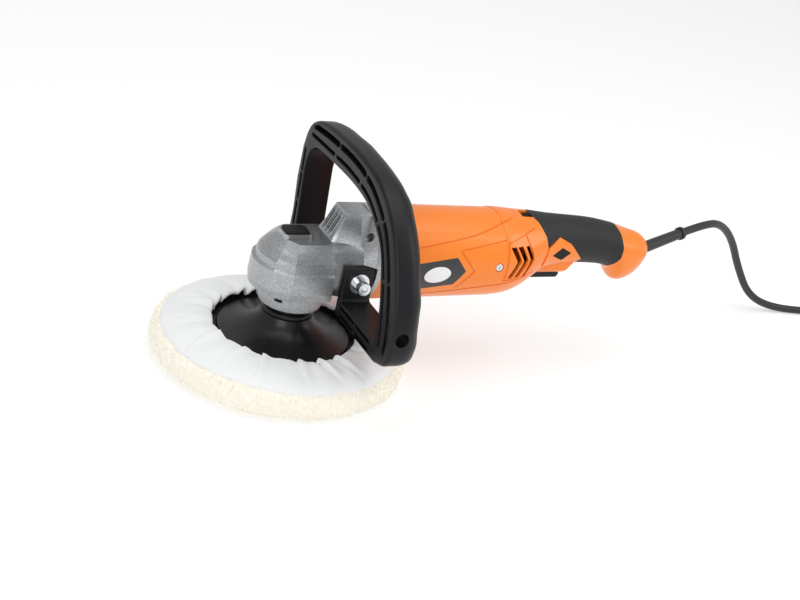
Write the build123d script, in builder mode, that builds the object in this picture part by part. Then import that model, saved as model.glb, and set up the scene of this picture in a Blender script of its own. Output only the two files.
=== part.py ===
"""Rotary car polisher: bevel-gear head, D-handle, motor body, cord, backing pad and bonnet.

Origin on the spindle's axis at the bonnet's working face. +X runs to the tail, +Z up, -Y is the left side.
"""
import math
import os

from build123d import *

os.makedirs("parts", exist_ok=True)

# ---------------------------------------------------------------- driving dimensions, mm
motor_axis_z = 95.3          # motor axis above the working face
body_front_radius = 37.4     # motor housing, at the gear case
body_rear_radius = 35.6      # motor housing, at the rear shells
body_wall = 2.8
head_joint_x = 54.0          # gear case flange meets the motor housing
body_length = 110.0          # motor housing
grip_length = 154.0          # rear shells
running = 0.05               # radial clearance of a running fit
gap = 0.35                   # clearance between pieces that slide past each other

bonnet_radius = 100.0
bonnet_height = 30.0
wool_thickness = 13.0
pad_radius = 88.0
pad_rim_thickness = 10.0
pad_step_radius = 52.4
pad_neck_radius = 19.0
pad_neck_top_z = 47.5
hem_radius = 58.0

spindle_radius = 7.5         # journal in the lower bearing
spindle_thread_radius = 7.0
spindle_tip_radius = 5.0     # journal in the top bearing
cap_radius = 24.7
cap_bottom_z = 52.5
cap_top_z = 68.0

crown_teeth = 36
pinion_teeth = 10
crown_pitch_radius = 27.0
tooth_addendum = 0.9
tooth_dedendum = 1.4
tooth_share = 0.40           # part of the pitch that a tooth fills
face_share = 0.70            # inner end of the teeth over the outer end

motor_shaft_radius = 5.0
armature_radius = 19.8
armature_length = 40.0
armature_x = 98.0            # middle of the lamination stack
commutator_radius = 12.0

lock_pin_radius = 1.5
lock_pin_x = -11.5
lock_travel = 4.0
lock_holes = 12

handle_front_x = 24.5
handle_depth = 25.0
lug_gap_half = 30.0          # inner faces of the handle's lugs
lug_thickness = 6.0
lug_top_z = 98.0
handle_bar_bottom_z = 56.5
handle_bar_top_z = 70.5
bolt_z = 86.0
bolt_radius = 3.0

trigger_travel = 4.5
trigger_half_width = 7.2
lock_on_travel = 2.2
dial_radius = 7.0
dial_width = 7.0

cord_radius = 3.5
boot_radius = 5.0

# ---------------------------------------------------------------- derived places
housing_rear_x = head_joint_x + body_length
tail_x = housing_rear_x + grip_length
cord_exit_z = motor_axis_z + 1.7
bolt_x = handle_front_x + handle_depth / 2
pinion_pitch_radius = crown_pitch_radius * pinion_teeth / crown_teeth


def across(x):
    """Sketch plane across the motor axis: its own X is +Y, its own Y is +Z."""
    return Plane(origin=(x, 0, motor_axis_z), x_dir=(0, 1, 0), z_dir=(1, 0, 0))


def side(y):
    """Sketch plane seen from the left, facing -Y: its own X is +X, its own Y is +Z."""
    return Plane(origin=(0, y, 0), x_dir=(1, 0, 0), z_dir=(0, -1, 0))


def from_seam(*points):
    """Side-view points given behind the housing's rear seam and above the motor axis."""
    return [(housing_rear_x + run, motor_axis_z + rise) for run, rise in points]


def finish(builder, name):
    """Name a piece and write it."""
    builder.part.label = name
    export_step(builder.part, f"parts/{name}.step")


def ring(outer, inner, low, high, plane):
    """A plain ring between two heights of a plane."""
    with BuildPart() as piece:
        with BuildSketch(plane.offset(low)):
            Circle(outer)
            Circle(inner, mode=Mode.SUBTRACT)
        extrude(amount=high - low)
    return piece.part


def ball_bearing(bore, outer, width, plane, balls=9):
    """Inner ring, outer ring and balls as separate solids; the plane is at one face."""
    mid = (bore + outer) / 2
    ball = (outer - bore) * 0.26
    with BuildPart() as piece:
        add(ring(mid - ball * 0.5, bore, 0, width, plane))
        add(ring(outer, mid + ball * 0.5, 0, width, plane))
        with BuildPart(plane.offset(width / 2), mode=Mode.PRIVATE) as cage:
            with PolarLocations(mid, balls):
                Sphere(ball)
        with BuildPart(plane.offset(width / 2), mode=Mode.PRIVATE) as race:
            Torus(mid, ball + 0.02)
        add(race.part, mode=Mode.SUBTRACT)
        add(cage.part)
    return piece.part


def pan_screw(head_radius, head_height, shank_radius, length):
    """Cross-head screw: head from 0 up, shank from 0 down."""
    with BuildPart() as piece:
        Cylinder(head_radius, head_height, align=(Align.CENTER, Align.CENTER, Align.MIN))
        fillet(piece.edges().group_by(Axis.Z)[-1], head_height * 0.4)
        Cylinder(shank_radius, length, align=(Align.CENTER, Align.CENTER, Align.MAX))
        with BuildSketch(Plane.XY.offset(head_height)):
            Rectangle(head_radius * 1.2, head_radius * 0.28)
            Rectangle(head_radius * 0.28, head_radius * 1.2)
        extrude(amount=-head_height * 0.6, mode=Mode.SUBTRACT)
    return piece.part


def coil_spring(radius, wire, low, high, turns, place):
    """Helical spring along the plane's normal."""
    with BuildPart() as piece:
        with BuildLine():
            helix = Helix(pitch=(high - low - wire) / turns, height=high - low - wire, radius=radius)
        with BuildSketch(Plane(origin=helix @ 0, z_dir=helix % 0)):
            Circle(wire / 2)
        sweep(path=helix.edges()[0], is_frenet=True)
    return place.offset(low + wire / 2).location * piece.part


# ================================================================ gear head
crown_root_z = motor_axis_z - pinion_pitch_radius - tooth_dedendum
crown_hub_top_z = motor_axis_z - 4.0
ring_top_z = crown_hub_top_z + 3.4
crown_bottom_z = crown_root_z - 6.0
gear_room_radius = crown_pitch_radius + 2.6
gear_room_top_z = motor_axis_z + 9.0
head_wall = 6.4
bulb_radius = gear_room_radius + head_wall
head_top_z = motor_axis_z + 16.2
front_bearing_x = gear_room_radius + 1.5
front_bearing_outer = 13.0
front_bearing_width = 8.0
front_bearing_end_x = front_bearing_x + front_bearing_width
fan_room_x = front_bearing_end_x + 3.0
fan_mouth_radius = 26.0
pinion_bore_depth = gear_room_radius + 1.5 - crown_pitch_radius * face_share + 0.6
lower_bearing_outer = 17.5
lower_bearing_width = 11.0
lower_bearing_z = cap_bottom_z + 4.5
top_bearing_outer = 7.5
top_bearing_z = motor_axis_z + 2.7
top_bearing_width = 6.5
button_plane_z = head_top_z - 4.5
button_x = lock_pin_x + 5.5
button_length = 19.0
button_width = 13.0

flange_screw_angles = (45, 135, 225, 315)
flange_screw_ring = 31.6
flange_head_radius = 2.9
flange_shank_radius = 1.6
cap_screw_ring = lower_bearing_outer + 5.1
cap_pocket_radius = 3.8
cap_shank_radius = 1.4
cap_head_radius = 2.9
cap_head_z = cap_top_z - 3.0

# --- gear case: stepped, faceted bulb on a round neck, cast in one piece
# each band: height above the cap's seat, nose radius and flank radius over the bulb's radius
bulb_bands = [
    (0.0, 0.972, 0.985), (6.0, 1.0, 1.010), (20.6, 0.981, 1.000), (22.0, 0.908, 0.905), (27.0, 0.892, 0.895),
    (30.0, 0.842, 0.882), (33.4, 0.753, 0.800), (36.5, 0.640, 0.712), (41.0, 0.486, 0.560),
]
shoulder_x = 18.0
shoulder_share = 0.92
facet_start = 143.0
facet_end = 116.0


def bulb_rim(radius, angle):
    """Point at a radius and an angle round the spindle's axis."""
    return (radius * math.cos(math.radians(angle)), radius * math.sin(math.radians(angle)))


# round nose, one flat facet on each side, then straight flanks back to the neck
with BuildPart() as bulb:
    for low_band, high_band in zip(bulb_bands, bulb_bands[1:]):
        for rise, nose_share, flank_share in (low_band, high_band):
            nose = bulb_radius * nose_share
            flank = bulb_radius * flank_share
            with BuildSketch(Plane.XY.offset(cap_top_z + rise)):
                with BuildLine():
                    ThreePointArc(bulb_rim(nose, facet_start), (-nose, 0), bulb_rim(nose, -facet_start))
                    Polyline(bulb_rim(nose, -facet_start), bulb_rim(flank, -facet_end),
                             (shoulder_x, -flank * shoulder_share), (shoulder_x, flank * shoulder_share),
                             bulb_rim(flank, facet_end), bulb_rim(nose, facet_start))
                make_face()
        loft(ruled=True)

# --- vent hood: a steep ramp up from the bulb, widening back to the flange
hood_half_width = 10.5
hood_base_half_width = 13.5
hood_rear_half_width = 24.0
hood_front_x = 17.5
hood_top_x = 28.5
hood_top_z = motor_axis_z + body_front_radius - 0.9
hood_rear_x = head_joint_x - 1.0
hood_base_z = head_top_z - 4.5
with BuildPart() as hood:
    for level, front, front_half, middle, rear_half in (
        (hood_base_z, hood_front_x, hood_base_half_width, head_joint_x - 15.0, hood_rear_half_width),
        (hood_top_z, hood_top_x, hood_half_width, head_joint_x - 16.0, hood_half_width),
    ):
        with BuildSketch(Plane.XY.offset(level)):
            Polygon((front, -front_half), (middle, -rear_half), (hood_rear_x, -rear_half),
                    (hood_rear_x, rear_half), (middle, rear_half), (front, front_half), align=None)
    loft(ruled=True)

with BuildPart() as gear_case:
    add(bulb.part)
    # neck that widens into the round flange on the motor housing
    with BuildSketch(across(8.0)):
        with Locations((0, -7)):
            RectangleRounded(50, 40, 12)
    with BuildSketch(across(head_joint_x - 13.0)):
        with Locations((0, -8)):
            RectangleRounded(62, 50, 18)
    with BuildSketch(across(head_joint_x - 5.0)):
        Circle(body_front_radius - 0.6)
    loft(ruled=True)
    with BuildSketch(across(head_joint_x - 5.0)):
        Circle(body_front_radius)
    extrude(amount=5.0)
    # bosses that the handle's lugs bolt to
    with BuildSketch(Plane(origin=(bolt_x, -lug_gap_half, bolt_z), x_dir=(1, 0, 0), z_dir=(0, 1, 0))):
        Circle(10.5)
    extrude(amount=lug_gap_half * 2)
    # raised frame round the spindle lock button
    with BuildSketch(Plane.XY.offset(head_top_z - 6)):
        with Locations((button_x, 0)):
            RectangleRounded(button_length + 4, button_width + 4, 3)
    extrude(amount=6.9)
    add(hood.part)
    # gear room, bearing seats, fan room
    with BuildSketch(Plane.XZ):
        with BuildLine():
            Polyline((0, cap_top_z - 1), (lower_bearing_outer + 3.5, cap_top_z - 1),
                     (lower_bearing_outer + 3.5, cap_top_z + 5), (gear_room_radius, cap_top_z + 9),
                     (gear_room_radius, motor_axis_z - 7.1), (gear_room_radius * 0.86, motor_axis_z - 4.5),
                     (gear_room_radius * 0.80, motor_axis_z + 1),
                     (gear_room_radius * 0.50, gear_room_top_z),
                     (top_bearing_outer + 2.4, gear_room_top_z),
                     (top_bearing_outer + 2.4, top_bearing_z - 0.7),
                     (0, top_bearing_z - 0.7), close=True)
        make_face()
    revolve(axis=Axis.Z, mode=Mode.SUBTRACT)
    with BuildSketch(Plane.XY.offset(top_bearing_z)):
        Circle(top_bearing_outer)
    extrude(amount=top_bearing_width, mode=Mode.SUBTRACT)
    with BuildSketch(Plane.XY.offset(top_bearing_z - 1)):
        Circle(spindle_tip_radius + 0.8)
    extrude(amount=2, mode=Mode.SUBTRACT)
    with BuildSketch(across(front_bearing_x)):
        Circle(front_bearing_outer)
    extrude(amount=fan_room_x - front_bearing_x, mode=Mode.SUBTRACT)
    with BuildSketch(across(front_bearing_x - pinion_bore_depth)):
        Circle(10.0)
    extrude(amount=pinion_bore_depth + 0.1, mode=Mode.SUBTRACT)
    with BuildSketch(across(fan_room_x)):
        Circle(fan_mouth_radius)
    extrude(amount=head_joint_x - fan_room_x, mode=Mode.SUBTRACT)
    with BuildSketch(across(head_joint_x - 5.0)):
        Circle(body_front_radius - 4.0)
    extrude(amount=5.0, mode=Mode.SUBTRACT)
    # hollow under the hood, open to the fan room, and its three slots
    with BuildSketch(side(hood_half_width - 3)):
        Polygon((hood_front_x + 6, head_top_z + 0.6), (hood_top_x + 3, hood_top_z - 3.4),
                (head_joint_x - 6, hood_top_z - 3.4), (head_joint_x - 6, motor_axis_z + 20),
                (fan_room_x + 0.5, motor_axis_z + 20), (fan_room_x + 0.5, head_top_z + 0.6), align=None)
    extrude(amount=2 * (hood_half_width - 3), mode=Mode.SUBTRACT)
    ramp_low = Vector(hood_front_x, 0, hood_base_z)
    ramp_line = Vector(hood_top_x, 0, hood_top_z) - ramp_low
    ramp_x_dir = ramp_line.normalized()
    ramp = Plane(origin=ramp_low + ramp_line * 0.54, x_dir=ramp_x_dir, z_dir=(-ramp_x_dir.Z, 0, ramp_x_dir.X))
    with BuildSketch(ramp):
        with GridLocations(0, 5.6, 1, 4):
            Rectangle(20.0, 1.5)
    extrude(amount=1.3)
    with BuildSketch(ramp):
        with GridLocations(0, 5.6, 1, 3):
            Rectangle(14.0, 2.6)
    extrude(amount=-9, mode=Mode.SUBTRACT)
    # lock pin's guide and the button's well
    with BuildSketch(Plane.XY.offset(gear_room_top_z - 9)):
        with Locations((lock_pin_x, 0)):
            Circle(lock_pin_radius + running)
    extrude(amount=20, mode=Mode.SUBTRACT)
    with BuildSketch(Plane.XY.offset(button_plane_z)):
        with Locations((button_x, 0)):
            RectangleRounded(button_length + 2 * gap, button_width + 2 * gap, 2.0)
    extrude(amount=12, mode=Mode.SUBTRACT)
    # flat seats for the handle's lugs, and threaded holes for its bolts
    for way in (-1, 1):
        with BuildSketch(Plane(origin=(0, way * lug_gap_half, 0), x_dir=(1, 0, 0), z_dir=(0, way, 0))):
            with Locations((handle_front_x + handle_depth / 2, -way * (handle_bar_bottom_z + lug_top_z) / 2)):
                Rectangle(handle_depth + 2 * gap, lug_top_z - handle_bar_bottom_z + 2 * gap)
        extrude(amount=20, mode=Mode.SUBTRACT)
    for way in (-1, 1):
        lug_face = Plane(origin=(bolt_x, way * lug_gap_half, bolt_z), x_dir=(1, 0, 0), z_dir=(0, way, 0))
        with BuildSketch(lug_face):
            Circle(bolt_radius)
        extrude(amount=-13, mode=Mode.SUBTRACT)
    # pockets and holes for the flange screws, holes for the cap screws
    for angle in flange_screw_angles:
        with BuildSketch(across(head_joint_x - 5.0)):
            with PolarLocations(flange_screw_ring, 1, angle):
                Circle(flange_head_radius + 0.5)
        extrude(amount=-16, mode=Mode.SUBTRACT)
        with BuildSketch(across(head_joint_x)):
            with PolarLocations(flange_screw_ring, 1, angle):
                Circle(flange_shank_radius + 0.1)
        extrude(amount=-8, mode=Mode.SUBTRACT)
    with BuildSketch(Plane.XY.offset(cap_top_z)):
        with PolarLocations(cap_screw_ring, 4, 45):
            Circle(cap_shank_radius + 0.1)
    extrude(amount=9, mode=Mode.SUBTRACT)
    # the neck's underside is relieved round the bearing cap
    with BuildSketch(Plane.XY.offset(cap_bottom_z)):
        Circle(cap_radius + gap)
    extrude(amount=cap_top_z - cap_bottom_z, mode=Mode.SUBTRACT)
finish(gear_case, "gear_case")


with BuildPart() as gear_case_screws:
    head_seat = across(head_joint_x - 5.0).location
    for angle in flange_screw_angles:
        turn = Location((0, 0, 0), (0, 0, angle))
        spot = head_seat * turn * Location((flange_screw_ring, 0, 0), (180, 0, 0))
        add(spot * pan_screw(flange_head_radius, 2.0, flange_shank_radius, 14.0))
finish(gear_case_screws, "gear_case_screws")

# --- bearing cap that closes the head from below
with BuildPart() as bearing_cap:
    with BuildSketch(Plane.XZ):
        with BuildLine():
            Polyline((spindle_radius + 2.9, cap_bottom_z), (cap_radius - 1.5, cap_bottom_z),
                     (cap_radius, cap_bottom_z + 1.5), (cap_radius, cap_top_z),
                     (lower_bearing_outer + 3.4, cap_top_z), (lower_bearing_outer + 3.4, cap_top_z + 4.9),
                     (lower_bearing_outer, cap_top_z + 4.9), (lower_bearing_outer, lower_bearing_z),
                     (spindle_radius + 2.9, lower_bearing_z), close=True)
        make_face()
    revolve(axis=Axis.Z)
    # pockets for the screw heads, open at the side, and the driver's way in from below
    with BuildSketch(Plane.XY.offset(cap_head_z - 4.5)):
        with PolarLocations(cap_screw_ring, 4, 45):
            Circle(cap_pocket_radius)
    extrude(amount=4.5, mode=Mode.SUBTRACT)
    with BuildSketch(Plane.XY.offset(cap_bottom_z)):
        with PolarLocations(cap_screw_ring, 4, 45):
            Circle(cap_shank_radius + 0.2)
    extrude(amount=cap_top_z - cap_bottom_z, mode=Mode.SUBTRACT)
finish(bearing_cap, "bearing_cap")

with BuildPart() as bearing_cap_screws:
    for spot in PolarLocations(cap_screw_ring, 4, 45):
        add(Location((0, 0, cap_head_z)) * spot * Location((0, 0, 0), (180, 0, 0))
            * pan_screw(cap_head_radius, 1.8, cap_shank_radius, 8.0))
finish(bearing_cap_screws, "bearing_cap_screws")

with BuildPart() as spindle_bearing:
    add(ball_bearing(spindle_radius + running, lower_bearing_outer, lower_bearing_width,
                     Plane.XY.offset(lower_bearing_z)))
finish(spindle_bearing, "spindle_bearing")

with BuildPart() as spindle_top_bearing:
    add(ball_bearing(spindle_tip_radius + running, top_bearing_outer, top_bearing_width,
                     Plane.XY.offset(top_bearing_z), balls=14))
finish(spindle_top_bearing, "spindle_top_bearing")

# ================================================================ spindle and bevel gears
gear_seat_radius = spindle_radius + 0.5
thread_end_z = 24.0
collar_radius = spindle_radius + 2.5
spindle_end_z = top_bearing_z + top_bearing_width - 0.5
with BuildPart() as spindle:
    with BuildSketch(Plane.XZ):
        with BuildLine():
            Polyline((0, thread_end_z), (spindle_thread_radius - 1, thread_end_z),
                     (spindle_thread_radius, thread_end_z + 1), (spindle_thread_radius, pad_neck_top_z),
                     (collar_radius, pad_neck_top_z), (collar_radius, lower_bearing_z - 0.3),
                     (spindle_radius, lower_bearing_z - 0.3), (spindle_radius, lower_bearing_z + 11.5),
                     (spindle_radius + 2, lower_bearing_z + 11.5), (spindle_radius + 2, crown_bottom_z),
                     (gear_seat_radius, crown_bottom_z), (gear_seat_radius, ring_top_z),
                     (spindle_tip_radius, ring_top_z), (spindle_tip_radius, spindle_end_z),
                     (0, spindle_end_z), close=True)
        make_face()
    revolve(axis=Axis.Z)
    # spanner flats on the collar
    for way in (-1, 1):
        with BuildSketch(Plane.XY.offset(pad_neck_top_z)):
            with Locations((way * (collar_radius + 1.2), 0)):
                Rectangle(4.0, 2 * collar_radius)
        extrude(amount=4.5, mode=Mode.SUBTRACT)
finish(spindle, "spindle")

root_slope = (pinion_pitch_radius + tooth_dedendum) / crown_pitch_radius


def root_z(radius):
    """Height of the crown gear's root cone at a radius."""
    return motor_axis_z - root_slope * radius


crown_outer_radius = crown_pitch_radius + 1.3
teeth_inner_radius = crown_pitch_radius * face_share
tooth_pitch = 2 * math.pi * crown_pitch_radius / crown_teeth
half_pitch_width = tooth_pitch * tooth_share / 2
half_root_width = half_pitch_width + tooth_dedendum * math.tan(math.radians(20))
half_tip_width = half_pitch_width - tooth_addendum * math.tan(math.radians(20))
hub_radius = crown_pitch_radius * face_share - 4.4

with BuildPart() as crown_gear:
    with BuildSketch(Plane.XZ):
        with BuildLine():
            Polyline((gear_seat_radius, crown_bottom_z), (crown_outer_radius - 2, crown_bottom_z),
                     (crown_outer_radius, crown_bottom_z + 2),
                     (crown_outer_radius, root_z(crown_outer_radius)),
                     (teeth_inner_radius, root_z(teeth_inner_radius)),
                     (hub_radius, root_z(teeth_inner_radius)),
                     (hub_radius, crown_hub_top_z), (gear_seat_radius, crown_hub_top_z), close=True)
        make_face()
    revolve(axis=Axis.Z)
    with BuildPart(mode=Mode.PRIVATE) as crown_tooth:
        for share in (1.0, face_share):
            with BuildSketch(Plane(origin=(crown_pitch_radius * share, 0, motor_axis_z),
                                   x_dir=(0, 1, 0), z_dir=(1, 0, 0))):
                root_depth = pinion_pitch_radius + tooth_dedendum + 0.5
                tip_depth = pinion_pitch_radius - tooth_addendum
                half_root = half_root_width * share
                half_tip = half_tip_width * share
                Polygon((-half_root, -root_depth * share), (half_root, -root_depth * share),
                        (half_tip, -tip_depth * share), (-half_tip, -tip_depth * share), align=None)
        loft(ruled=True)
    tooth_step = 360 / crown_teeth
    add([crown_tooth.part.rotate(Axis.Z, index * tooth_step) for index in range(crown_teeth)], clean=False)
finish(crown_gear, "crown_gear")

with BuildPart() as lock_ring:
    with BuildSketch(Plane.XY.offset(crown_hub_top_z)):
        Circle(hub_radius)
        Circle(gear_seat_radius, mode=Mode.SUBTRACT)
        with PolarLocations(-lock_pin_x, lock_holes):
            Circle(lock_pin_radius + 0.4, mode=Mode.SUBTRACT)
    extrude(amount=ring_top_z - crown_hub_top_z)
finish(lock_ring, "lock_ring")


def pinion_outline(share):
    """Corner points of the pinion's section, scaled towards the gears' common apex."""
    root = pinion_pitch_radius - tooth_dedendum
    tip = pinion_pitch_radius + tooth_addendum
    points = []
    for index in range(pinion_teeth):
        middle = math.radians(-90 + (index + 0.5) * 360 / pinion_teeth)
        for radius, half in ((root, -half_root_width), (tip, -half_tip_width),
                             (tip, half_tip_width), (root, half_root_width)):
            turn = middle + math.asin(half / radius)
            points.append((radius * share * math.cos(turn), radius * share * math.sin(turn)))
    return points


nose_radius = 3.0
with BuildPart() as pinion_gear:
    for share in (face_share, 1.0):
        with BuildSketch(across(crown_pitch_radius * share)):
            with BuildLine():
                Polyline(*pinion_outline(share), close=True)
            make_face()
    loft(ruled=True)
    with BuildSketch(across(crown_pitch_radius)):
        Circle(5.8)
    extrude(amount=front_bearing_x - crown_pitch_radius - 0.3)
    with BuildSketch(across(crown_pitch_radius * face_share)):
        Circle(nose_radius)
    extrude(amount=front_bearing_x, mode=Mode.SUBTRACT)
finish(pinion_gear, "pinion_gear")

# ================================================================ spindle lock
button_low_z = button_plane_z + lock_travel + 0.2
with BuildPart() as spindle_lock_button:
    with BuildSketch(Plane.XY.offset(button_low_z)):
        with Locations((button_x, 0)):
            Rectangle(button_length, button_width)
        chamfer(vertices().group_by(Axis.X)[-1], 3.0)
        chamfer(vertices().group_by(Axis.X)[0], 1.0)
    extrude(amount=3.2)
    chamfer(spindle_lock_button.faces().sort_by(Axis.Z)[-1].edges(), 0.7)
finish(spindle_lock_button, "spindle_lock_button")

lock_pin_low_z = ring_top_z + 0.7
with BuildPart() as lock_pin:
    with BuildSketch(Plane.XY.offset(lock_pin_low_z)):
        with Locations((lock_pin_x, 0)):
            Circle(lock_pin_radius)
    extrude(amount=button_low_z - lock_pin_low_z)
finish(lock_pin, "lock_pin")

with BuildPart() as lock_spring:
    add(coil_spring(2.6, 0.7, button_plane_z, button_low_z, 3.5, Plane(origin=(lock_pin_x, 0, 0))))
finish(lock_spring, "lock_spring")

# ================================================================ motor
shaft_nose_x = crown_pitch_radius * face_share - 1.4
rear_bearing_x = housing_rear_x - 17.0
rear_bearing_width = 7.0
rear_bearing_outer = 11.0
rear_journal_radius = 4.0
bore_radius = body_rear_radius - body_wall
commutator_x = armature_x + armature_length / 2 + 10.0
commutator_length = 14.0
fan_x = head_joint_x + 5.0
fan_radius = flange_screw_ring - 4.8
baffle_x = fan_x + 12.5
stack_low_x = armature_x - armature_length / 2
stack_high_x = armature_x + armature_length / 2
air_gap = 0.6

with BuildPart() as front_armature_bearing:
    add(ball_bearing(motor_shaft_radius + running, front_bearing_outer, front_bearing_width,
                     across(front_bearing_x)))
finish(front_armature_bearing, "front_armature_bearing")

with BuildPart() as rear_armature_bearing:
    add(ball_bearing(rear_journal_radius + running, rear_bearing_outer, rear_bearing_width,
                     across(rear_bearing_x)))
finish(rear_armature_bearing, "rear_armature_bearing")

with BuildPart() as armature_shaft:
    for low_x, high_x, radius in (
        (shaft_nose_x, front_bearing_x - 0.3, nose_radius),
        (front_bearing_x - 0.3, rear_bearing_x - 0.5, motor_shaft_radius),
        (rear_bearing_x - 0.5, rear_bearing_x + rear_bearing_width + 1, rear_journal_radius),
    ):
        with BuildSketch(across(low_x)):
            Circle(radius)
        extrude(amount=high_x - low_x)
finish(armature_shaft, "armature_shaft")

with BuildPart() as cooling_fan:
    with BuildSketch(across(fan_x)):
        Circle(fan_radius)
        Circle(motor_shaft_radius, mode=Mode.SUBTRACT)
    extrude(amount=1.6)
    with BuildSketch(across(fan_x)):
        Circle(motor_shaft_radius + 3.5)
        Circle(motor_shaft_radius, mode=Mode.SUBTRACT)
    extrude(amount=11)
    with BuildSketch(across(fan_x)):
        with PolarLocations((fan_radius + motor_shaft_radius + 3) / 2, 14):
            Rectangle(fan_radius - motor_shaft_radius - 3.2, 1.4, rotation=22)
    extrude(amount=10)
finish(cooling_fan, "cooling_fan")

with BuildPart() as air_baffle:
    add(ring(bore_radius, fan_radius - 5, 0, 1.8, across(baffle_x)))
finish(air_baffle, "air_baffle")

with BuildPart() as armature_core:
    with BuildSketch(across(stack_low_x)):
        Circle(armature_radius)
        Circle(motor_shaft_radius, mode=Mode.SUBTRACT)
        with PolarLocations(armature_radius - 1.5, 14):
            Rectangle(4.0, 1.8, mode=Mode.SUBTRACT)
    extrude(amount=armature_length)
finish(armature_core, "armature_core")

with BuildPart() as armature_windings:
    for low_x in (stack_low_x - 4.5, stack_high_x):
        with BuildSketch(across(low_x)):
            Circle(armature_radius - 3.5)
            Circle(motor_shaft_radius, mode=Mode.SUBTRACT)
        extrude(amount=4.5)
finish(armature_windings, "armature_windings")

with BuildPart() as commutator:
    with BuildSketch(across(commutator_x)):
        Circle(commutator_radius)
        Circle(motor_shaft_radius, mode=Mode.SUBTRACT)
        with PolarLocations(commutator_radius, 24):
            Rectangle(1.6, 0.5, mode=Mode.SUBTRACT)
    extrude(amount=commutator_length)
finish(commutator, "commutator")

coil_inner = armature_radius + air_gap + 1.4
with BuildPart() as stator:
    with BuildSketch(across(stack_low_x)):
        Circle(bore_radius)
        Circle(armature_radius + air_gap, mode=Mode.SUBTRACT)
        with PolarLocations((coil_inner + bore_radius - 3) / 2, 2, 90):
            Rectangle(bore_radius - 3 - coil_inner + 0.2, 26, mode=Mode.SUBTRACT)
    extrude(amount=armature_length)
finish(stator, "stator")

with BuildPart() as field_coils:
    with BuildSketch(across(stack_low_x - 3.5)):
        with PolarLocations((coil_inner + bore_radius - 3) / 2, 2, 90):
            RectangleRounded(bore_radius - 3 - coil_inner, 25.6, 1.2)
        Circle(armature_radius + air_gap, mode=Mode.SUBTRACT)
    extrude(amount=armature_length + 7)
finish(field_coils, "field_coils")

brush_x = commutator_x + commutator_length / 2
brush_outer_y = bore_radius - 0.6
with BuildPart() as brush_holders:
    for way in (-1, 1):
        with BuildSketch(Plane(origin=(brush_x, way * (commutator_radius + 1.6), motor_axis_z),
                               x_dir=(1, 0, 0), z_dir=(0, way, 0))):
            RectangleRounded(11.0, 9.0, 1.0)
            Rectangle(8.0, 6.0, mode=Mode.SUBTRACT)
        extrude(amount=brush_outer_y - commutator_radius - 1.6)
        with BuildSketch(Plane(origin=(brush_x, way * (brush_outer_y - 1.2), motor_axis_z),
                               x_dir=(1, 0, 0), z_dir=(0, way, 0))):
            Rectangle(8.0, 6.0)
        extrude(amount=1.2)
finish(brush_holders, "brush_holders")

brush_length = 10.5
with BuildPart() as carbon_brushes:
    for way in (-1, 1):
        with BuildSketch(Plane(origin=(brush_x, way * (commutator_radius + gap), motor_axis_z),
                               x_dir=(1, 0, 0), z_dir=(0, way, 0))):
            Rectangle(7.8, 5.8)
        extrude(amount=brush_length)
finish(carbon_brushes, "carbon_brushes")

with BuildPart() as brush_springs:
    for way in (-1, 1):
        place = Plane(origin=(brush_x, 0, motor_axis_z), x_dir=(1, 0, 0), z_dir=(0, way, 0))
        add(coil_spring(2.1, 0.6, commutator_radius + gap + brush_length, brush_outer_y - 1.2, 4, place))
finish(brush_springs, "brush_springs")

# ================================================================ motor housing
seam_tongue = 10.0
groove_depth = 0.7
label_depth = 0.9
label_outline = from_seam((-101.0, 3.9), (-45.2, 11.2), (-36.0, 0.0), (-44.1, -12.3), (-101.0, -20.9))
badge_centre = (housing_rear_x - 60.7, motor_axis_z - 2.9)
seam_screw_x = housing_rear_x - 5.8
seam_screw_z = motor_axis_z + 2.6


def housing_form(inset):
    """Solid of the tapered motor housing, its surface moved in."""
    with BuildPart() as form:
        with BuildSketch(across(head_joint_x)):
            Circle(body_front_radius - inset)
        with BuildSketch(across(housing_rear_x)):
            Circle(body_rear_radius - inset)
        loft()
    return form.part


def strips(lines, width):
    """Both-sided prisms along lines drawn on the side view, for grooves."""
    with BuildPart() as piece:
        with BuildSketch(side(body_front_radius + 5)):
            for start, end in lines:
                run = math.dist(start, end)
                slope = math.degrees(math.atan2(end[1] - start[1], end[0] - start[0]))
                with Locations(((start[0] + end[0]) / 2, (start[1] + end[1]) / 2)):
                    SlotOverall(run + width, width, rotation=slope)
        extrude(amount=2 * (body_front_radius + 5))
    return piece.part


crease = from_seam((-110.0, -29.8), (8.6, -12.1), (-42.3, 16.0), (-28.4, -0.2), (-40.0, -15.9),
                   (1.0, 23.0), (-110.0, 13.7), (-29.4, 25.6), (1.0, 32.5))
panel_lines = [(crease[0], crease[1]), (crease[2], crease[3]), (crease[3], crease[4]), (crease[2], crease[5]),
               (crease[6], crease[7]), (crease[7], crease[8])]

with BuildPart() as label_layer:
    add(housing_form(0))
    add(housing_form(label_depth), mode=Mode.SUBTRACT)
    with BuildSketch(side(body_front_radius + 5)):
        Polygon(*label_outline, align=None)
    extrude(amount=2 * (body_front_radius + 5), mode=Mode.INTERSECT)

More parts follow.
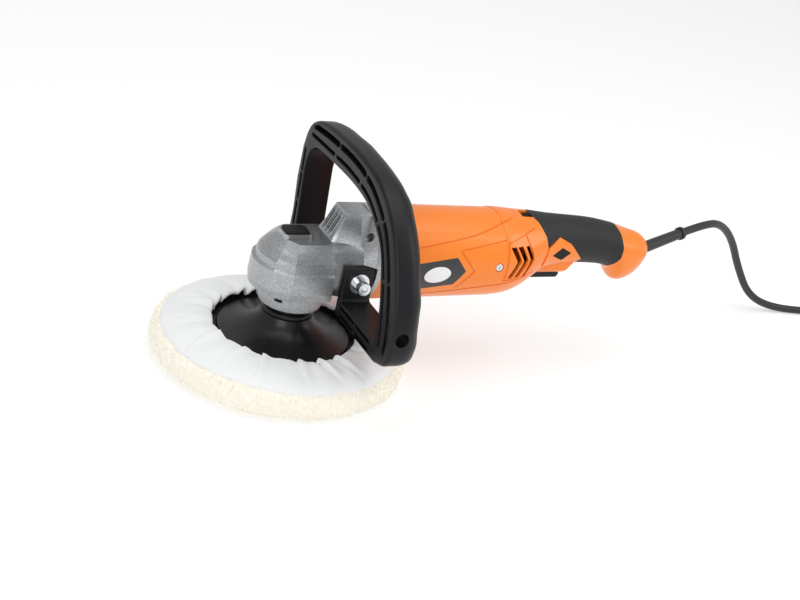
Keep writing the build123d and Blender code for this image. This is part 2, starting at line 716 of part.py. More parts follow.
with BuildPart() as motor_housing:
    add(housing_form(0))
    with BuildPart(mode=Mode.PRIVATE) as grooves:
        add(housing_form(0))
        add(housing_form(groove_depth), mode=Mode.SUBTRACT)
        add(strips(panel_lines, 0.9), mode=Mode.INTERSECT)
    add(grooves.part, mode=Mode.SUBTRACT)
    add(label_layer.part, mode=Mode.SUBTRACT)
    with BuildSketch(across(head_joint_x)):
        Circle(bore_radius)
    extrude(amount=body_length, mode=Mode.SUBTRACT)
    # posts for the gear case screws
    with BuildSketch(across(head_joint_x)):
        for angle in flange_screw_angles:
            with PolarLocations(flange_screw_ring, 1, angle):
                Circle(3.4)
    extrude(amount=12)
    with BuildSketch(across(head_joint_x)):
        for angle in flange_screw_angles:
            with PolarLocations(flange_screw_ring, 1, angle):
                Circle(flange_shank_radius + 0.1)
    extrude(amount=12, mode=Mode.SUBTRACT)
    # rear web with the bearing seat
    with BuildSketch(across(rear_bearing_x - 2)):
        Circle(rear_bearing_outer + 3)
        with PolarLocations(0, 3, 45):
            Rectangle(2 * bore_radius + 1, 5)
        Circle(motor_shaft_radius + 2, mode=Mode.SUBTRACT)
    extrude(amount=6)
    with BuildSketch(across(rear_bearing_x)):
        Circle(rear_bearing_outer)
    extrude(amount=6, mode=Mode.SUBTRACT)
    with BuildSketch(side(body_front_radius + 5)):
        with Locations((seam_screw_x, seam_screw_z)):
            Circle(1.7)
    extrude(amount=2 * (body_front_radius + 5), mode=Mode.SUBTRACT)
    for way in (-1, 1):
        with BuildSketch(Plane(origin=(seam_screw_x, way * (body_rear_radius - 1.6), seam_screw_z),
                               x_dir=(1, 0, 0), z_dir=(0, way, 0))):
            Circle(3.6)
        extrude(amount=6, mode=Mode.SUBTRACT)
finish(motor_housing, "motor_housing")

# dark plates in the label recesses, with an oval badge on each
with BuildPart() as badge_layer:
    add(housing_form(-0.25))
    add(housing_form(label_depth * 0.5), mode=Mode.SUBTRACT)
    with BuildSketch(side(body_front_radius + 5)):
        with Locations(badge_centre):
            Ellipse(11.5, 7.0, rotation=7)
    extrude(amount=2 * (body_front_radius + 5), mode=Mode.INTERSECT)

with BuildPart() as label_plates:
    add(label_layer.part)
    add(badge_layer.part, mode=Mode.SUBTRACT)
finish(label_plates, "label_plates")

with BuildPart() as badges:
    add(badge_layer.part)
finish(badges, "badges")

with BuildPart() as seam_screws:
    for way in (-1, 1):
        seat = Plane(origin=(seam_screw_x, way * (body_rear_radius - 1.6), seam_screw_z),
                     x_dir=(1, 0, 0), z_dir=(0, way, 0))
        add(seat.location * pan_screw(3.1, 1.6, 1.6, 7.0))
finish(seam_screws, "seam_screws")

# ================================================================ rear shells and grip
# (share of the grip's length, centre above the motor axis, half width, half height)
shell_stations = [
    (0.0, 0.4, body_rear_radius - 0.05, body_rear_radius), (0.052, 0.6, 35.1, 35.3), (0.104, 0.9, 33.4, 34.3),
    (0.169, 2.6, 30.6, 32.0), (0.234, 5.6, 26.8, 28.7), (0.312, 9.0, 22.4, 24.1), (0.396, 10.7, 20.0, 21.3),
    (0.526, 10.9, 18.5, 19.7), (0.636, 9.7, 18.0, 19.1), (0.727, 7.6, 18.0, 18.5), (0.773, 5.2, 18.6, 19.3),
    (0.818, -0.6, 19.4, 22.9), (0.870, -2.6, 18.4, 22.6), (0.929, -1.7, 15.8, 19.2), (0.974, 0.0, 12.0, 14.0),
    (1.0, 0.8, 7.6, 8.0),
]
rubber_depth = 1.8
shell_reach = 40.0           # half depth of a cut that passes the whole rear body
tail_hole_radius = boot_radius + 0.15
trigger_front_x = housing_rear_x + 43.0
trigger_rear_x = housing_rear_x + 71.5
trigger_bottom_z = motor_axis_z - 21.7
guard_bottom_z = motor_axis_z - 15.0
guard_top_z = motor_axis_z - 3.3
post_spots = [(housing_rear_x + 10, motor_axis_z + 25), (housing_rear_x + 88, motor_axis_z + 2.5),
              (housing_rear_x + 128, motor_axis_z - 14)]
diamond = from_seam(
    (50.0, 6.3), (58.8, 12.9), (69.4, 7.5), (61.2, 0.9),
)
boss_outline = from_seam(
    (42.5, -3.3), (44.5, 13.1), (55.4, 21.1), (67.1, 15.7), (83.0, 0.2), (69.0, -4.3),
)
grip_outline = from_seam(
    (24.0, 44.7), (29.5, 35.7), (35.5, 31.2), (41.0, 22.2), (43.8, 13.1), (55.4, 21.1), (67.1, 15.7),
    (82.0, 0.2), (82.0, -17.3), (115.0, -17.3), (117.0, -7.3), (121.0, 1.7), (122.0, 10.7), (120.0, 20.7),
    (115.5, 30.7), (112.0, 44.7),
)
vent_outline = from_seam(
    (1.5, 21.0), (19.0, 25.5), (27.6, 9.8), (11.6, -8.7), (1.5, -9.8),
)
dial_centre = (housing_rear_x + 29.0, motor_axis_z + 26.4)


def shell_form(inset, end_inset=0.0):
    """Solid of the rear body, its surface moved in."""
    with BuildPart() as form:
        for share, rise, half_width, half_height in shell_stations:
            distance = min(share * grip_length, grip_length - end_inset)
            with BuildSketch(Plane(origin=(housing_rear_x + distance, 0, motor_axis_z + rise),
                                   x_dir=(0, 1, 0), z_dir=(1, 0, 0))):
                Ellipse(half_width - inset, half_height - inset)
        loft()
    return form.part


outer_form = shell_form(0)
rubber_core = shell_form(rubber_depth)
cavity_form = shell_form(body_wall, body_wall)

with BuildPart() as grip_skin:
    add(outer_form)
    add(rubber_core, mode=Mode.SUBTRACT)
    with BuildSketch(side(shell_reach)):
        Polygon(*grip_outline, align=None)
    extrude(amount=2 * shell_reach, mode=Mode.INTERSECT)

with BuildPart() as guard:
    with BuildSketch(side(12.0)):
        Polygon((trigger_front_x - 5, guard_top_z), (trigger_front_x - 5, guard_bottom_z),
                (trigger_rear_x + 1, guard_bottom_z), (trigger_rear_x + 10, guard_top_z), align=None)
    extrude(amount=24)
    chamfer(guard.edges().filter_by(Axis.X).group_by(Axis.Z)[0], 2.5)

with BuildPart() as boss:
    add(shell_form(-0.9))
    with BuildSketch(side(shell_reach)):
        Polygon(*boss_outline, align=None)
    extrude(amount=2 * shell_reach, mode=Mode.INTERSECT)
    add(rubber_core, mode=Mode.SUBTRACT)

with BuildPart() as shell_pair:
    add(outer_form)
    add(guard.part)
    add(cavity_form, mode=Mode.SUBTRACT)
    add(grip_skin.part, mode=Mode.SUBTRACT)
    add(boss.part)
    with BuildPart(mode=Mode.PRIVATE) as shell_grooves:
        add(outer_form)
        add(shell_form(groove_depth), mode=Mode.SUBTRACT)
        rim = list(zip(vent_outline, vent_outline[1:] + vent_outline[:1]))
        seams = from_seam((19.0, 25.7), (29.0, 28.2), (1.0, 32.5), (27.0, 36.7), (1.0, -13.3), (32.0, -5.3))
        add(strips(rim + [seams[0:2], seams[2:4], seams[4:6]], 0.9), mode=Mode.INTERSECT)
    add(shell_grooves.part, mode=Mode.SUBTRACT)
    # tongue inside the motor housing
    with BuildSketch(across(housing_rear_x - seam_tongue)):
        Circle(bore_radius - 0.1)
        Circle(bore_radius - 3.1, mode=Mode.SUBTRACT)
    extrude(amount=seam_tongue + 3)
    # chevron vents
    with BuildSketch(side(shell_reach)):
        for step, cut in ((3.3, 0), (10.2, 0), (16.9, 1.6)):
            Polygon(*from_seam((step + cut, 17.8), (step + 5.1, 18.3), (step + 12.0, 6.7), (step + 5.1, -7.7),
                               (step + 0.7 + cut, -7.7), (step + 7.3 + cut * 0.4, 6.7)), align=None)
    extrude(amount=2 * shell_reach, mode=Mode.SUBTRACT)
    # trigger slot, dial window, tail hole, seam screws' holes
    with BuildSketch(Plane.XY.offset(trigger_bottom_z)):
        with Locations(((trigger_front_x + trigger_rear_x) / 2, 0)):
            Rectangle(trigger_rear_x - trigger_front_x + 2 * gap, 2 * (trigger_half_width + gap))
    extrude(amount=guard_top_z - trigger_bottom_z + 1, mode=Mode.SUBTRACT)
    with BuildSketch(Plane.XY.offset(motor_axis_z + 26)):
        with Locations((dial_centre[0], -2.0)):
            RectangleRounded(13.5, dial_width + 3, 1.5)
    extrude(amount=15, mode=Mode.SUBTRACT)
    with BuildSketch(Plane(origin=(tail_x - 12, 0, cord_exit_z), x_dir=(0, 1, 0), z_dir=(1, 0, 0))):
        Circle(tail_hole_radius)
    extrude(amount=20, mode=Mode.SUBTRACT)
    with BuildSketch(side(body_front_radius + 5)):
        with Locations((seam_screw_x, seam_screw_z)):
            Circle(1.7)
    extrude(amount=2 * (body_front_radius + 5), mode=Mode.SUBTRACT)

shell_parts = {}
for label, keep in (("left", Keep.TOP), ("right", Keep.BOTTOM)):
    with BuildPart() as half_shell:
        add(shell_pair.part)
        split(bisect_by=Plane(origin=(0, 0, 0), z_dir=(0, -1, 0)), keep=keep)
    shell_parts[label] = half_shell

with BuildPart() as screw_posts:
    with BuildSketch(side(shell_reach)):
        with Locations(*post_spots):
            Circle(4.0)
    extrude(amount=2 * shell_reach)
    add(shell_form(rubber_depth + 0.2), mode=Mode.INTERSECT)

with BuildPart() as left_rear_shell:
    add(shell_parts["left"].part)
    with BuildPart(mode=Mode.PRIVATE) as left_posts:
        add(screw_posts.part)
        split(bisect_by=Plane(origin=(0, 0, 0), z_dir=(0, -1, 0)), keep=Keep.TOP)
    add(left_posts.part)
    with BuildSketch(side(1)):
        with Locations(*post_spots):
            Circle(1.6)
    extrude(amount=11, mode=Mode.SUBTRACT)
    # lock-on button's opening
    with BuildSketch(side(-10)):
        Polygon(*diamond, align=None)
    extrude(amount=20, mode=Mode.SUBTRACT)
finish(left_rear_shell, "left_rear_shell")

with BuildPart() as right_rear_shell:
    add(shell_parts["right"].part)
    with BuildPart(mode=Mode.PRIVATE) as right_posts:
        add(screw_posts.part)
        split(bisect_by=Plane(origin=(0, 0, 0), z_dir=(0, -1, 0)), keep=Keep.BOTTOM)
    add(right_posts.part)
    with BuildSketch(side(shell_reach)):
        with Locations(*post_spots):
            Circle(1.7)
    extrude(amount=shell_reach, mode=Mode.SUBTRACT)
    with BuildSketch(side(shell_reach)):
        with Locations(*post_spots):
            Circle(3.1)
    extrude(amount=shell_reach - 6.0, mode=Mode.SUBTRACT)
finish(right_rear_shell, "right_rear_shell")

for label, keep in (("left", Keep.TOP), ("right", Keep.BOTTOM)):
    with BuildPart() as half_grip:
        add(grip_skin.part)
        split(bisect_by=Plane(origin=(0, 0, 0), z_dir=(0, -1, 0)), keep=keep)
        add(boss.part, mode=Mode.SUBTRACT)
        if label == "right":
            with BuildSketch(side(shell_reach)):
                with Locations(*post_spots):
                    Circle(3.1)
            extrude(amount=shell_reach, mode=Mode.SUBTRACT)
    finish(half_grip, f"{label}_grip_rubber")

with BuildPart() as shell_screws:
    for spot_x, spot_z in post_spots:
        seat = Plane(origin=(spot_x, 6.0, spot_z), x_dir=(1, 0, 0), z_dir=(0, 1, 0))
        add(seat.location * pan_screw(2.8, 1.8, 1.5, 14.0))
finish(shell_screws, "shell_screws")

# ================================================================ controls
trigger_flange_z = guard_top_z + 0.4
trigger_top_z = trigger_flange_z + 2.2
switch_bottom_z = trigger_top_z + trigger_travel + 0.5
with BuildPart() as trigger:
    with BuildSketch(side(trigger_half_width)):
        Polygon((trigger_front_x + gap, trigger_flange_z), (trigger_front_x + gap, trigger_bottom_z),
                (trigger_rear_x - gap - 2, trigger_bottom_z), (trigger_rear_x - gap, trigger_bottom_z + 3),
                (trigger_rear_x - gap, trigger_flange_z), align=None)
    extrude(amount=2 * trigger_half_width)
    fillet(trigger.edges().filter_by(Axis.X).group_by(Axis.Z)[0], 1.6)
    with BuildSketch(Plane.XY.offset(trigger_flange_z)):
        with Locations(((trigger_front_x + trigger_rear_x) / 2, 0)):
            Rectangle(trigger_rear_x - trigger_front_x - 2 * gap, 2 * trigger_half_width + 3)
    extrude(amount=trigger_top_z - trigger_flange_z)
finish(trigger, "trigger")

with BuildPart() as switch_body:
    with BuildSketch(Plane.XY.offset(switch_bottom_z)):
        with Locations(((trigger_front_x + trigger_rear_x) / 2, 0)):
            RectangleRounded(26, 17, 1.5)
    extrude(amount=18)
    chamfer(switch_body.edges().group_by(Axis.Z)[-1], 1.0)
finish(switch_body, "switch_body")

with BuildPart() as trigger_spring:
    place = Plane(origin=((trigger_front_x + trigger_rear_x) / 2, 0, 0))
    add(coil_spring(3.0, 0.6, trigger_top_z, switch_bottom_z, 4, place))
finish(trigger_spring, "trigger_spring")

button_face_y = -20.2
with BuildPart() as lock_on_button:
    with BuildSketch(side(-12.5)):
        Polygon(*diamond, align=None)
        offset(amount=-gap, mode=Mode.REPLACE)
    extrude(amount=-button_face_y - 12.5)
finish(lock_on_button, "lock_on_button")

dial_y = -2.0
with BuildPart() as speed_dial:
    with BuildSketch(Plane(origin=(dial_centre[0], dial_y - dial_width / 2, dial_centre[1]),
                           x_dir=(1, 0, 0), z_dir=(0, 1, 0))):
        Circle(dial_radius)
        with PolarLocations(dial_radius, 30):
            Circle(0.45, mode=Mode.SUBTRACT)
        Circle(2.05, mode=Mode.SUBTRACT)
    extrude(amount=dial_width)
finish(speed_dial, "speed_dial")

with BuildPart() as speed_controller:
    with BuildSketch(Plane.XY.offset(dial_centre[1] - dial_radius - 8)):
        with Locations((dial_centre[0] - 2, 0)):
            RectangleRounded(26, 24, 2)
    extrude(amount=7)
    with BuildSketch(Plane(origin=(dial_centre[0], dial_y - dial_width / 2 - 2, dial_centre[1]),
                           x_dir=(1, 0, 0), z_dir=(0, 1, 0))):
        Circle(2.0)
    extrude(amount=dial_width + 4)
    for way in (-1, 1):
        with BuildSketch(Plane(origin=(dial_centre[0], dial_y + way * (dial_width / 2 + 1.2), dial_centre[1]),
                               x_dir=(1, 0, 0), z_dir=(0, 1, 0))):
            Circle(3.2)
            with Locations((0, 5.5)):
                Rectangle(5.0, 12.0)
        extrude(amount=0.8, both=True)
finish(speed_controller, "speed_controller")

# ================================================================ cord
clamp_x = tail_x - 17.0
boot_length = 52.0
boot_direction = Vector(50, 15, 7.5).normalized()
boot_start = Vector(tail_x, 0, cord_exit_z)
boot_end = boot_start + boot_direction * boot_length
with BuildPart() as cord_clamp:
    with BuildSketch(Plane(origin=(clamp_x, 0, cord_exit_z), x_dir=(0, 1, 0), z_dir=(1, 0, 0))):
        Rectangle(20, 12)
        Circle(cord_radius, mode=Mode.SUBTRACT)
    extrude(amount=6)
    with BuildSketch(Plane.XY.offset(cord_exit_z)):
        with Locations((clamp_x + 3, -7), (clamp_x + 3, 7)):
            Circle(1.5)
    extrude(amount=10, both=True, mode=Mode.SUBTRACT)
finish(cord_clamp, "cord_clamp")

with BuildPart() as cord_clamp_screws:
    for way in (-7, 7):
        with Locations((clamp_x + 3, way, cord_exit_z + 6)):
            add(pan_screw(2.3, 1.6, 1.4, 11.0))
finish(cord_clamp_screws, "cord_clamp_screws")

with BuildPart() as cord_boot:
    boot_plane = Plane(origin=boot_start, z_dir=boot_direction)
    with BuildSketch(Plane(origin=(tail_x - 8, 0, cord_exit_z), x_dir=(0, 1, 0), z_dir=(1, 0, 0))):
        Circle(boot_radius)
    extrude(amount=8)
    with Locations(boot_start):
        Sphere(boot_radius)
    with BuildSketch(boot_plane):
        Circle(boot_radius)
    with BuildSketch(boot_plane.offset(boot_length)):
        Circle(cord_radius + 0.9)
    loft()
    with BuildSketch(boot_plane.offset(boot_length - 3)):
        Circle(cord_radius + 2.2)
    extrude(amount=3)
finish(cord_boot, "cord_boot")

coil_mid_radius = 11 * cord_radius
coil_inner_radius = coil_mid_radius - 3 * cord_radius
coil_outer_radius = coil_mid_radius + 3 * cord_radius
coil_height = 6 * cord_radius
cord_route = [
    (boot_end.X, boot_end.Y, boot_end.Z), (tail_x + 76.0, 23.5, cord_exit_z + 10.6),
    (tail_x + 106.0, 36.0, cord_exit_z + 7.5), (tail_x + 138.0, 50.0, cord_exit_z - 14.0),
    (tail_x + 164.0, 58.0, 48.0), (tail_x + 190.0, 60.0, 16.0), (tail_x + 222.0, 57.0, cord_radius),
    (tail_x + 265.0, 48.0, cord_radius), (tail_x + 310.0, 35.0, cord_radius),
    (tail_x + 358.0, 26.0, cord_radius),
]
runs = [Vector(*b) - Vector(*a) for a, b in zip(cord_route, cord_route[1:])]
bend_radii = []
for before, after in zip(runs, runs[1:]):
    half_turn = math.radians(before.get_angle(after) / 2)
    bend_radii.append(0.45 * min(before.length, after.length) / math.tan(half_turn))
print("cord bend radii", [round(value) for value in bend_radii])
with BuildPart() as power_cord:
    with BuildLine() as route:
        FilletPolyline(*cord_route, radius=bend_radii)
    with BuildSketch(Plane(origin=cord_route[0], z_dir=runs[0])):
        Circle(cord_radius)
    sweep(path=route.wires()[0])
cord_run_length = route.wires()[0].length
print("cord tube length", round(cord_run_length), "volume ratio",
      round(power_cord.part.volume / (cord_run_length * math.pi * cord_radius ** 2), 4))
finish(power_cord, "power_cord")

entry = Vector(*cord_route[-1])
entry_direction = runs[-1].normalized()
coil_side = Vector(entry_direction.Y, -entry_direction.X, 0)
coil_centre = entry + coil_side * (coil_outer_radius - cord_radius)
with BuildPart() as cord_coil:
    with BuildSketch(Plane(origin=(coil_centre.X, coil_centre.Y, 0))):
        Circle(coil_outer_radius)
        Circle(coil_inner_radius, mode=Mode.SUBTRACT)
    extrude(amount=coil_height)
    fillet(cord_coil.edges(), cord_radius * 0.7)
finish(cord_coil, "cord_coil")

# ---- two-pin earthed plug, lying beside the coil
plug_radius = 18.5
plug_centre_z = plug_radius + 0.2
plug_back = entry + entry_direction * 58.0
plug_plane = Plane(origin=(plug_back.X, plug_back.Y, plug_centre_z), z_dir=entry_direction)
with BuildPart() as plug_body:
    with BuildSketch(plug_plane.offset(-18)):
        Circle(cord_radius + 0.8)
    with BuildSketch(plug_plane):
        Circle(cord_radius + 3.0)
    loft()
    with BuildSketch(plug_plane):
        Circle(cord_radius + 3.0)
    with BuildSketch(plug_plane.offset(13)):
        Circle(plug_radius)
    loft()
    with BuildSketch(plug_plane.offset(13)):
        Circle(plug_radius)
    extrude(amount=18)
finish(plug_body, "plug_body")

with BuildPart() as plug_pins:
    with BuildSketch(plug_plane.offset(31)):
        with GridLocations(19, 19, 2, 1):
            Circle(2.4)
    extrude(amount=19)
    fillet(plug_pins.edges().filter_by(GeomType.CIRCLE).group_by(SortBy.DISTANCE)[0], 0.1)
finish(plug_pins, "plug_pins")

with BuildPart() as plug_lead:
    with BuildLine() as lead_line:
        lead_start = entry + Vector(0, 0, 4 * cord_radius)
        lead_end = plug_plane.offset(-18).origin
        Line(lead_start, lead_end)
    with BuildSketch(Plane(origin=lead_start, z_dir=lead_line.line % 0)):
        Circle(cord_radius)
    sweep()
finish(plug_lead, "plug_lead")

# ================================================================ D-handle
lug_outer_y = lug_gap_half + lug_thickness
handle_outer = [(80.0, 150.0), (71.5, 171.0), (52.0, 180.0), (22.6, 183.4), (-8.8, 184.2), (-39.5, 181.8),
                (-60.0, 177.6), (-81.0, 166.5), (-99.2, 147.2), (-113.9, 121.9), (-122.8, 96.0),
                (-124.5, 76.0)]
handle_inner = [(-100.5, handle_bar_top_z), (-95.5, 96.7), (-87.0, 119.0), (-78.4, 135.0), (-62.5, 147.5),
                (-45.7, 155.5), (-18.6, 159.5), (18.0, 159.0), (50.0, 157.5), (63.5, 151.0), (68.6, 138.0)]
slot_row_outer = [(64.0, 172.0), (30.0, 175.0), (-9.0, 175.6), (-39.5, 172.6), (-62.0, 164.5), (-80.5, 151.0),
                  (-95.0, 130.0), (-106.5, 104.0), (-115.0, 73.5)]
slot_row_inner = [(62.0, 163.5), (32.0, 165.6), (-8.0, 166.4), (-38.0, 163.0), (-58.0, 154.5), (-74.5, 141.5),
                  (-87.5, 121.5), (-98.0, 99.0), (-105.5, 76.0)]
slot_depth = 9.0

with BuildPart() as d_handle:
    handle_plane = Plane(origin=(handle_front_x, 0, 0), x_dir=(0, 1, 0), z_dir=(1, 0, 0))
    with BuildSketch(handle_plane):
        with BuildLine():
            crown = Spline(*handle_outer, tangents=((0, 1), (0, -1)))
            heel = ThreePointArc(crown @ 1, (-118.2, 62.0), (-104.0, handle_bar_bottom_z))
            Polyline(heel @ 1, (-lug_gap_half, handle_bar_bottom_z), (-lug_gap_half, lug_top_z),
                     (-lug_outer_y, lug_top_z), (-lug_outer_y, handle_bar_top_z), handle_inner[0])
            inner = Spline(*handle_inner, tangents=((0.1, 1), (0, -1)))
            Polyline(inner @ 1, (64.0, 92.0), (64.0, handle_bar_top_z), (lug_outer_y, handle_bar_top_z),
                     (lug_outer_y, lug_top_z), (lug_gap_half, lug_top_z), (lug_gap_half, handle_bar_bottom_z),
                     (70.0, handle_bar_bottom_z), (76.0, 63.0), (76.0, 96.0), (80.0, 122.0), crown @ 0)
        make_face()
    extrude(amount=handle_depth)
    with BuildSketch(handle_plane):
        for row, width, breaks in (
            (slot_row_outer, 5.8, (0.0, 0.15, 0.165, 0.31, 0.325, 0.51, 0.525, 0.68, 0.70, 0.86, 0.88, 1.0)),
            (slot_row_inner, 3.8, (0.0, 0.16, 0.175, 0.33, 0.345, 0.50, 0.52, 0.68, 0.70, 0.84, 0.86, 1.0)),
        ):
            row_line = Spline(*[Vector(*point) for point in row])
            for start, end in zip(breaks[::2], breaks[1::2]):
                SlotArc(ThreePointArc(row_line @ (start + 0.012), row_line @ ((start + end) / 2),
                                      row_line @ (end - 0.012)), width)
        for low_y, high_y in ((-86.0, -63.0), (-59.0, -39.0)):
            for level in (59.8, 66.8):
                with Locations(((low_y + high_y) / 2, level)):
                    SlotOverall(high_y - low_y, 3.6)
        for low_z, high_z in ((97.0, 118.0), (122.0, 146.0)):
            with Locations((74.0 - (136.0 - (low_z + high_z) / 2) * 0.06, (low_z + high_z) / 2)):
                SlotOverall(high_z - low_z, 3.4, rotation=88)
    extrude(amount=slot_depth, mode=Mode.SUBTRACT)
    # bolt holes in the lugs and the key's way in through the near grip
    with BuildSketch(Plane(origin=(bolt_x, -lug_outer_y - 1, bolt_z), x_dir=(1, 0, 0), z_dir=(0, 1, 0))):
        Circle(bolt_radius + 0.3)
    extrude(amount=2 * lug_outer_y + 2, mode=Mode.SUBTRACT)
    with BuildSketch(Plane(origin=(bolt_x, -132.0, bolt_z), x_dir=(1, 0, 0), z_dir=(0, 1, 0))):
        Circle(5.4)
    extrude(amount=42, mode=Mode.SUBTRACT)
finish(d_handle, "d_handle")

washer_thickness = 1.8
spring_washer_thickness = 3.0
bolt_head_radius = 5.0
with BuildPart() as handle_washers:
    for way in (-1, 1):
        place = Plane(origin=(bolt_x, way * lug_outer_y, bolt_z), x_dir=(1, 0, 0), z_dir=(0, way, 0))
        add(ring(8.0, bolt_radius + 0.2, 0, washer_thickness, place))
finish(handle_washers, "handle_washers")

with BuildPart() as handle_spring_washers:
    for way in (-1, 1):
        place = Plane(origin=(bolt_x, way * (lug_outer_y + washer_thickness), bolt_z),
                      x_dir=(1, 0, 0), z_dir=(0, way, 0))
        add(ring(5.6, bolt_radius + 0.2, 0, spring_washer_thickness, place))
finish(handle_spring_washers, "handle_spring_washers")

with BuildPart() as handle_bolts:
    for way in (-1, 1):
        head_y = lug_outer_y + washer_thickness + spring_washer_thickness
        place = Plane(origin=(bolt_x, way * head_y, bolt_z), x_dir=(1, 0, 0), z_dir=(0, way, 0))
        with BuildSketch(place):
            Circle(bolt_head_radius)
        extrude(amount=6.5)
        with BuildSketch(place):
            Circle(bolt_radius)
        extrude(amount=-(head_y - lug_gap_half + 12.0))
        with BuildSketch(place.offset(6.5)):
            RegularPolygon(2.8, 6)
        extrude(amount=-3.5, mode=Mode.SUBTRACT)
finish(handle_bolts, "handle_bolts")

# ================================================================ backing pad and bonnet
pad_bottom_z = wool_thickness + 0.6
hub_outer = 13.0
hub_flange = 34.0
with BuildPart() as pad_hub:
    with BuildSketch(Plane.XZ):
        with BuildLine():
            Polyline((spindle_thread_radius, pad_bottom_z + 4), (hub_flange, pad_bottom_z + 4),
                     (hub_flange, pad_bottom_z + 7), (hub_outer, pad_bottom_z + 7),
                     (hub_outer, pad_neck_top_z), (spindle_thread_radius, pad_neck_top_z), close=True)
        make_face()
    revolve(axis=Axis.Z)
finish(pad_hub, "pad_hub")

with BuildPart() as backing_pad:
    with BuildSketch(Plane.XZ):
        with BuildLine():
            Polyline((9.0, pad_bottom_z), (pad_radius, pad_bottom_z), (pad_radius, pad_bottom_z + 5),
                     (pad_radius - 3, pad_bottom_z + pad_rim_thickness),
                     (pad_step_radius, pad_bottom_z + 11.0),
                     (pad_step_radius, pad_bottom_z + 12.5), (40.0, 30.0), (28.0, 34.0), (21.0, 39.5),
                     (pad_neck_radius, pad_neck_top_z), (hub_outer, pad_neck_top_z),
                     (hub_outer, pad_bottom_z + 7), (hub_flange, pad_bottom_z + 7),
                     (hub_flange, pad_bottom_z + 4), (9.0, pad_bottom_z + 4), close=True)
        make_face()
    revolve(axis=Axis.Z)
finish(backing_pad, "backing_pad")

rim_inner = pad_radius + 1.5
wool_rim_z = 16.0
with BuildPart() as bonnet_wool:
    with BuildSketch(Plane.XZ):
        with BuildLine():
            Polyline((0, 0), (bonnet_radius - 9, 0), (bonnet_radius - 2.5, 3.5), (bonnet_radius, 9.0),
                     (bonnet_radius, wool_rim_z), (rim_inner, wool_rim_z), (rim_inner, wool_thickness),
                     (0, wool_thickness), close=True)
        make_face()
    revolve(axis=Axis.Z)
finish(bonnet_wool, "bonnet_wool")

cloth = 2.0
with BuildPart() as bonnet_cover:
    with BuildSketch(Plane.XZ):
        with BuildLine():
            Polyline((bonnet_radius - 0.5, wool_rim_z), (bonnet_radius - 2.5, 22.5), (90.0, bonnet_height - 1.5),
                     (75.0, bonnet_height + 1.0), (hem_radius, bonnet_height + 2.0),
                     (hem_radius, bonnet_height + 2.0 - cloth), (75.0, bonnet_height + 1.0 - cloth),
                     (89.0, bonnet_height - 1.5 - cloth), (bonnet_radius - 5.0, 21.5),
                     (bonnet_radius - 3.5, wool_rim_z), close=True)
        make_face()
    revolve(axis=Axis.Z)
finish(bonnet_cover, "bonnet_cover")

with BuildPart() as hem_drawcord:
    with Locations((0, 0, bonnet_height + 1.0)):
        Torus(hem_radius - 1.3, 1.25)
finish(hem_drawcord, "hem_drawcord")

with BuildPart() as spindle_seal:
    add(ring(cap_radius - 6, collar_radius + gap, 0, 1.2, Plane.XY.offset(cap_bottom_z - 1.2)))
finish(spindle_seal, "spindle_seal")
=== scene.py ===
import math
import random
import bmesh
import bpy
from mathutils import Matrix, Vector, noise


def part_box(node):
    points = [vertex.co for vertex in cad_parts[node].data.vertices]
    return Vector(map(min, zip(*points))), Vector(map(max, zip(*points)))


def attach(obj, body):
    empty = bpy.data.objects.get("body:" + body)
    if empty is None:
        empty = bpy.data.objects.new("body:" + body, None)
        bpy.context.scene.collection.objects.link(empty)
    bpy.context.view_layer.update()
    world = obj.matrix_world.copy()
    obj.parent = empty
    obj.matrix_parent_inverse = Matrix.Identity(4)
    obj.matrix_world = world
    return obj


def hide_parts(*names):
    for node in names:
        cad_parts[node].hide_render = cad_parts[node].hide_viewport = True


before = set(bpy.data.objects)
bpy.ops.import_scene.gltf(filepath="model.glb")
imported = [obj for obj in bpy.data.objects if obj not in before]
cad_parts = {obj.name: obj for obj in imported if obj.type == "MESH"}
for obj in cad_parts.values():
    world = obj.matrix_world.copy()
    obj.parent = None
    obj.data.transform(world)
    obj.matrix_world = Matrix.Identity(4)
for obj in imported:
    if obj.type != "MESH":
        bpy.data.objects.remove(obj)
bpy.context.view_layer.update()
mm = 0.001
random.seed(7)
print("frame loaded:", len(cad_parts), "nodes")


# ---- camera, lights and floor
cameraFacts = {"azimuth": -30.8, "elevation": 25.5, "roll": 13.4, "distance": 1.300,
               "target": (0.0972, 0.0, 0.0508), "lens": 73.1}


def placeCamera():
    turn = math.radians(cameraFacts["azimuth"])
    lift = math.radians(cameraFacts["elevation"])
    roll = math.radians(cameraFacts["roll"])
    back = Vector((math.sin(turn) * math.cos(lift), -math.cos(turn) * math.cos(lift), math.sin(lift)))
    right = Vector((math.cos(turn), math.sin(turn), 0))
    up = back.cross(right)
    xAxis = right * math.cos(roll) + up * math.sin(roll)
    yAxis = up * math.cos(roll) - right * math.sin(roll)
    place = Matrix((xAxis, yAxis, back)).transposed().to_4x4()
    place.translation = Vector(cameraFacts["target"]) + back * cameraFacts["distance"]
    lensData = bpy.data.cameras.new("studioCamera")
    lensData.lens = cameraFacts["lens"]
    lensData.sensor_width = 36
    camera = bpy.data.objects.new("studioCamera", lensData)
    camera.matrix_world = place
    bpy.context.scene.collection.objects.link(camera)
    bpy.context.scene.camera = camera


def addSoftbox(name, spot, aim, size, power):
    lightData = bpy.data.lights.new(name, "AREA")
    lightData.shape = "RECTANGLE"
    lightData.size, lightData.size_y = size
    lightData.energy = power
    light = bpy.data.objects.new(name, lightData)
    light.location = spot
    light.rotation_euler = (Vector(aim) - Vector(spot)).to_track_quat("-Z", "Y").to_euler()
    bpy.context.scene.collection.objects.link(light)


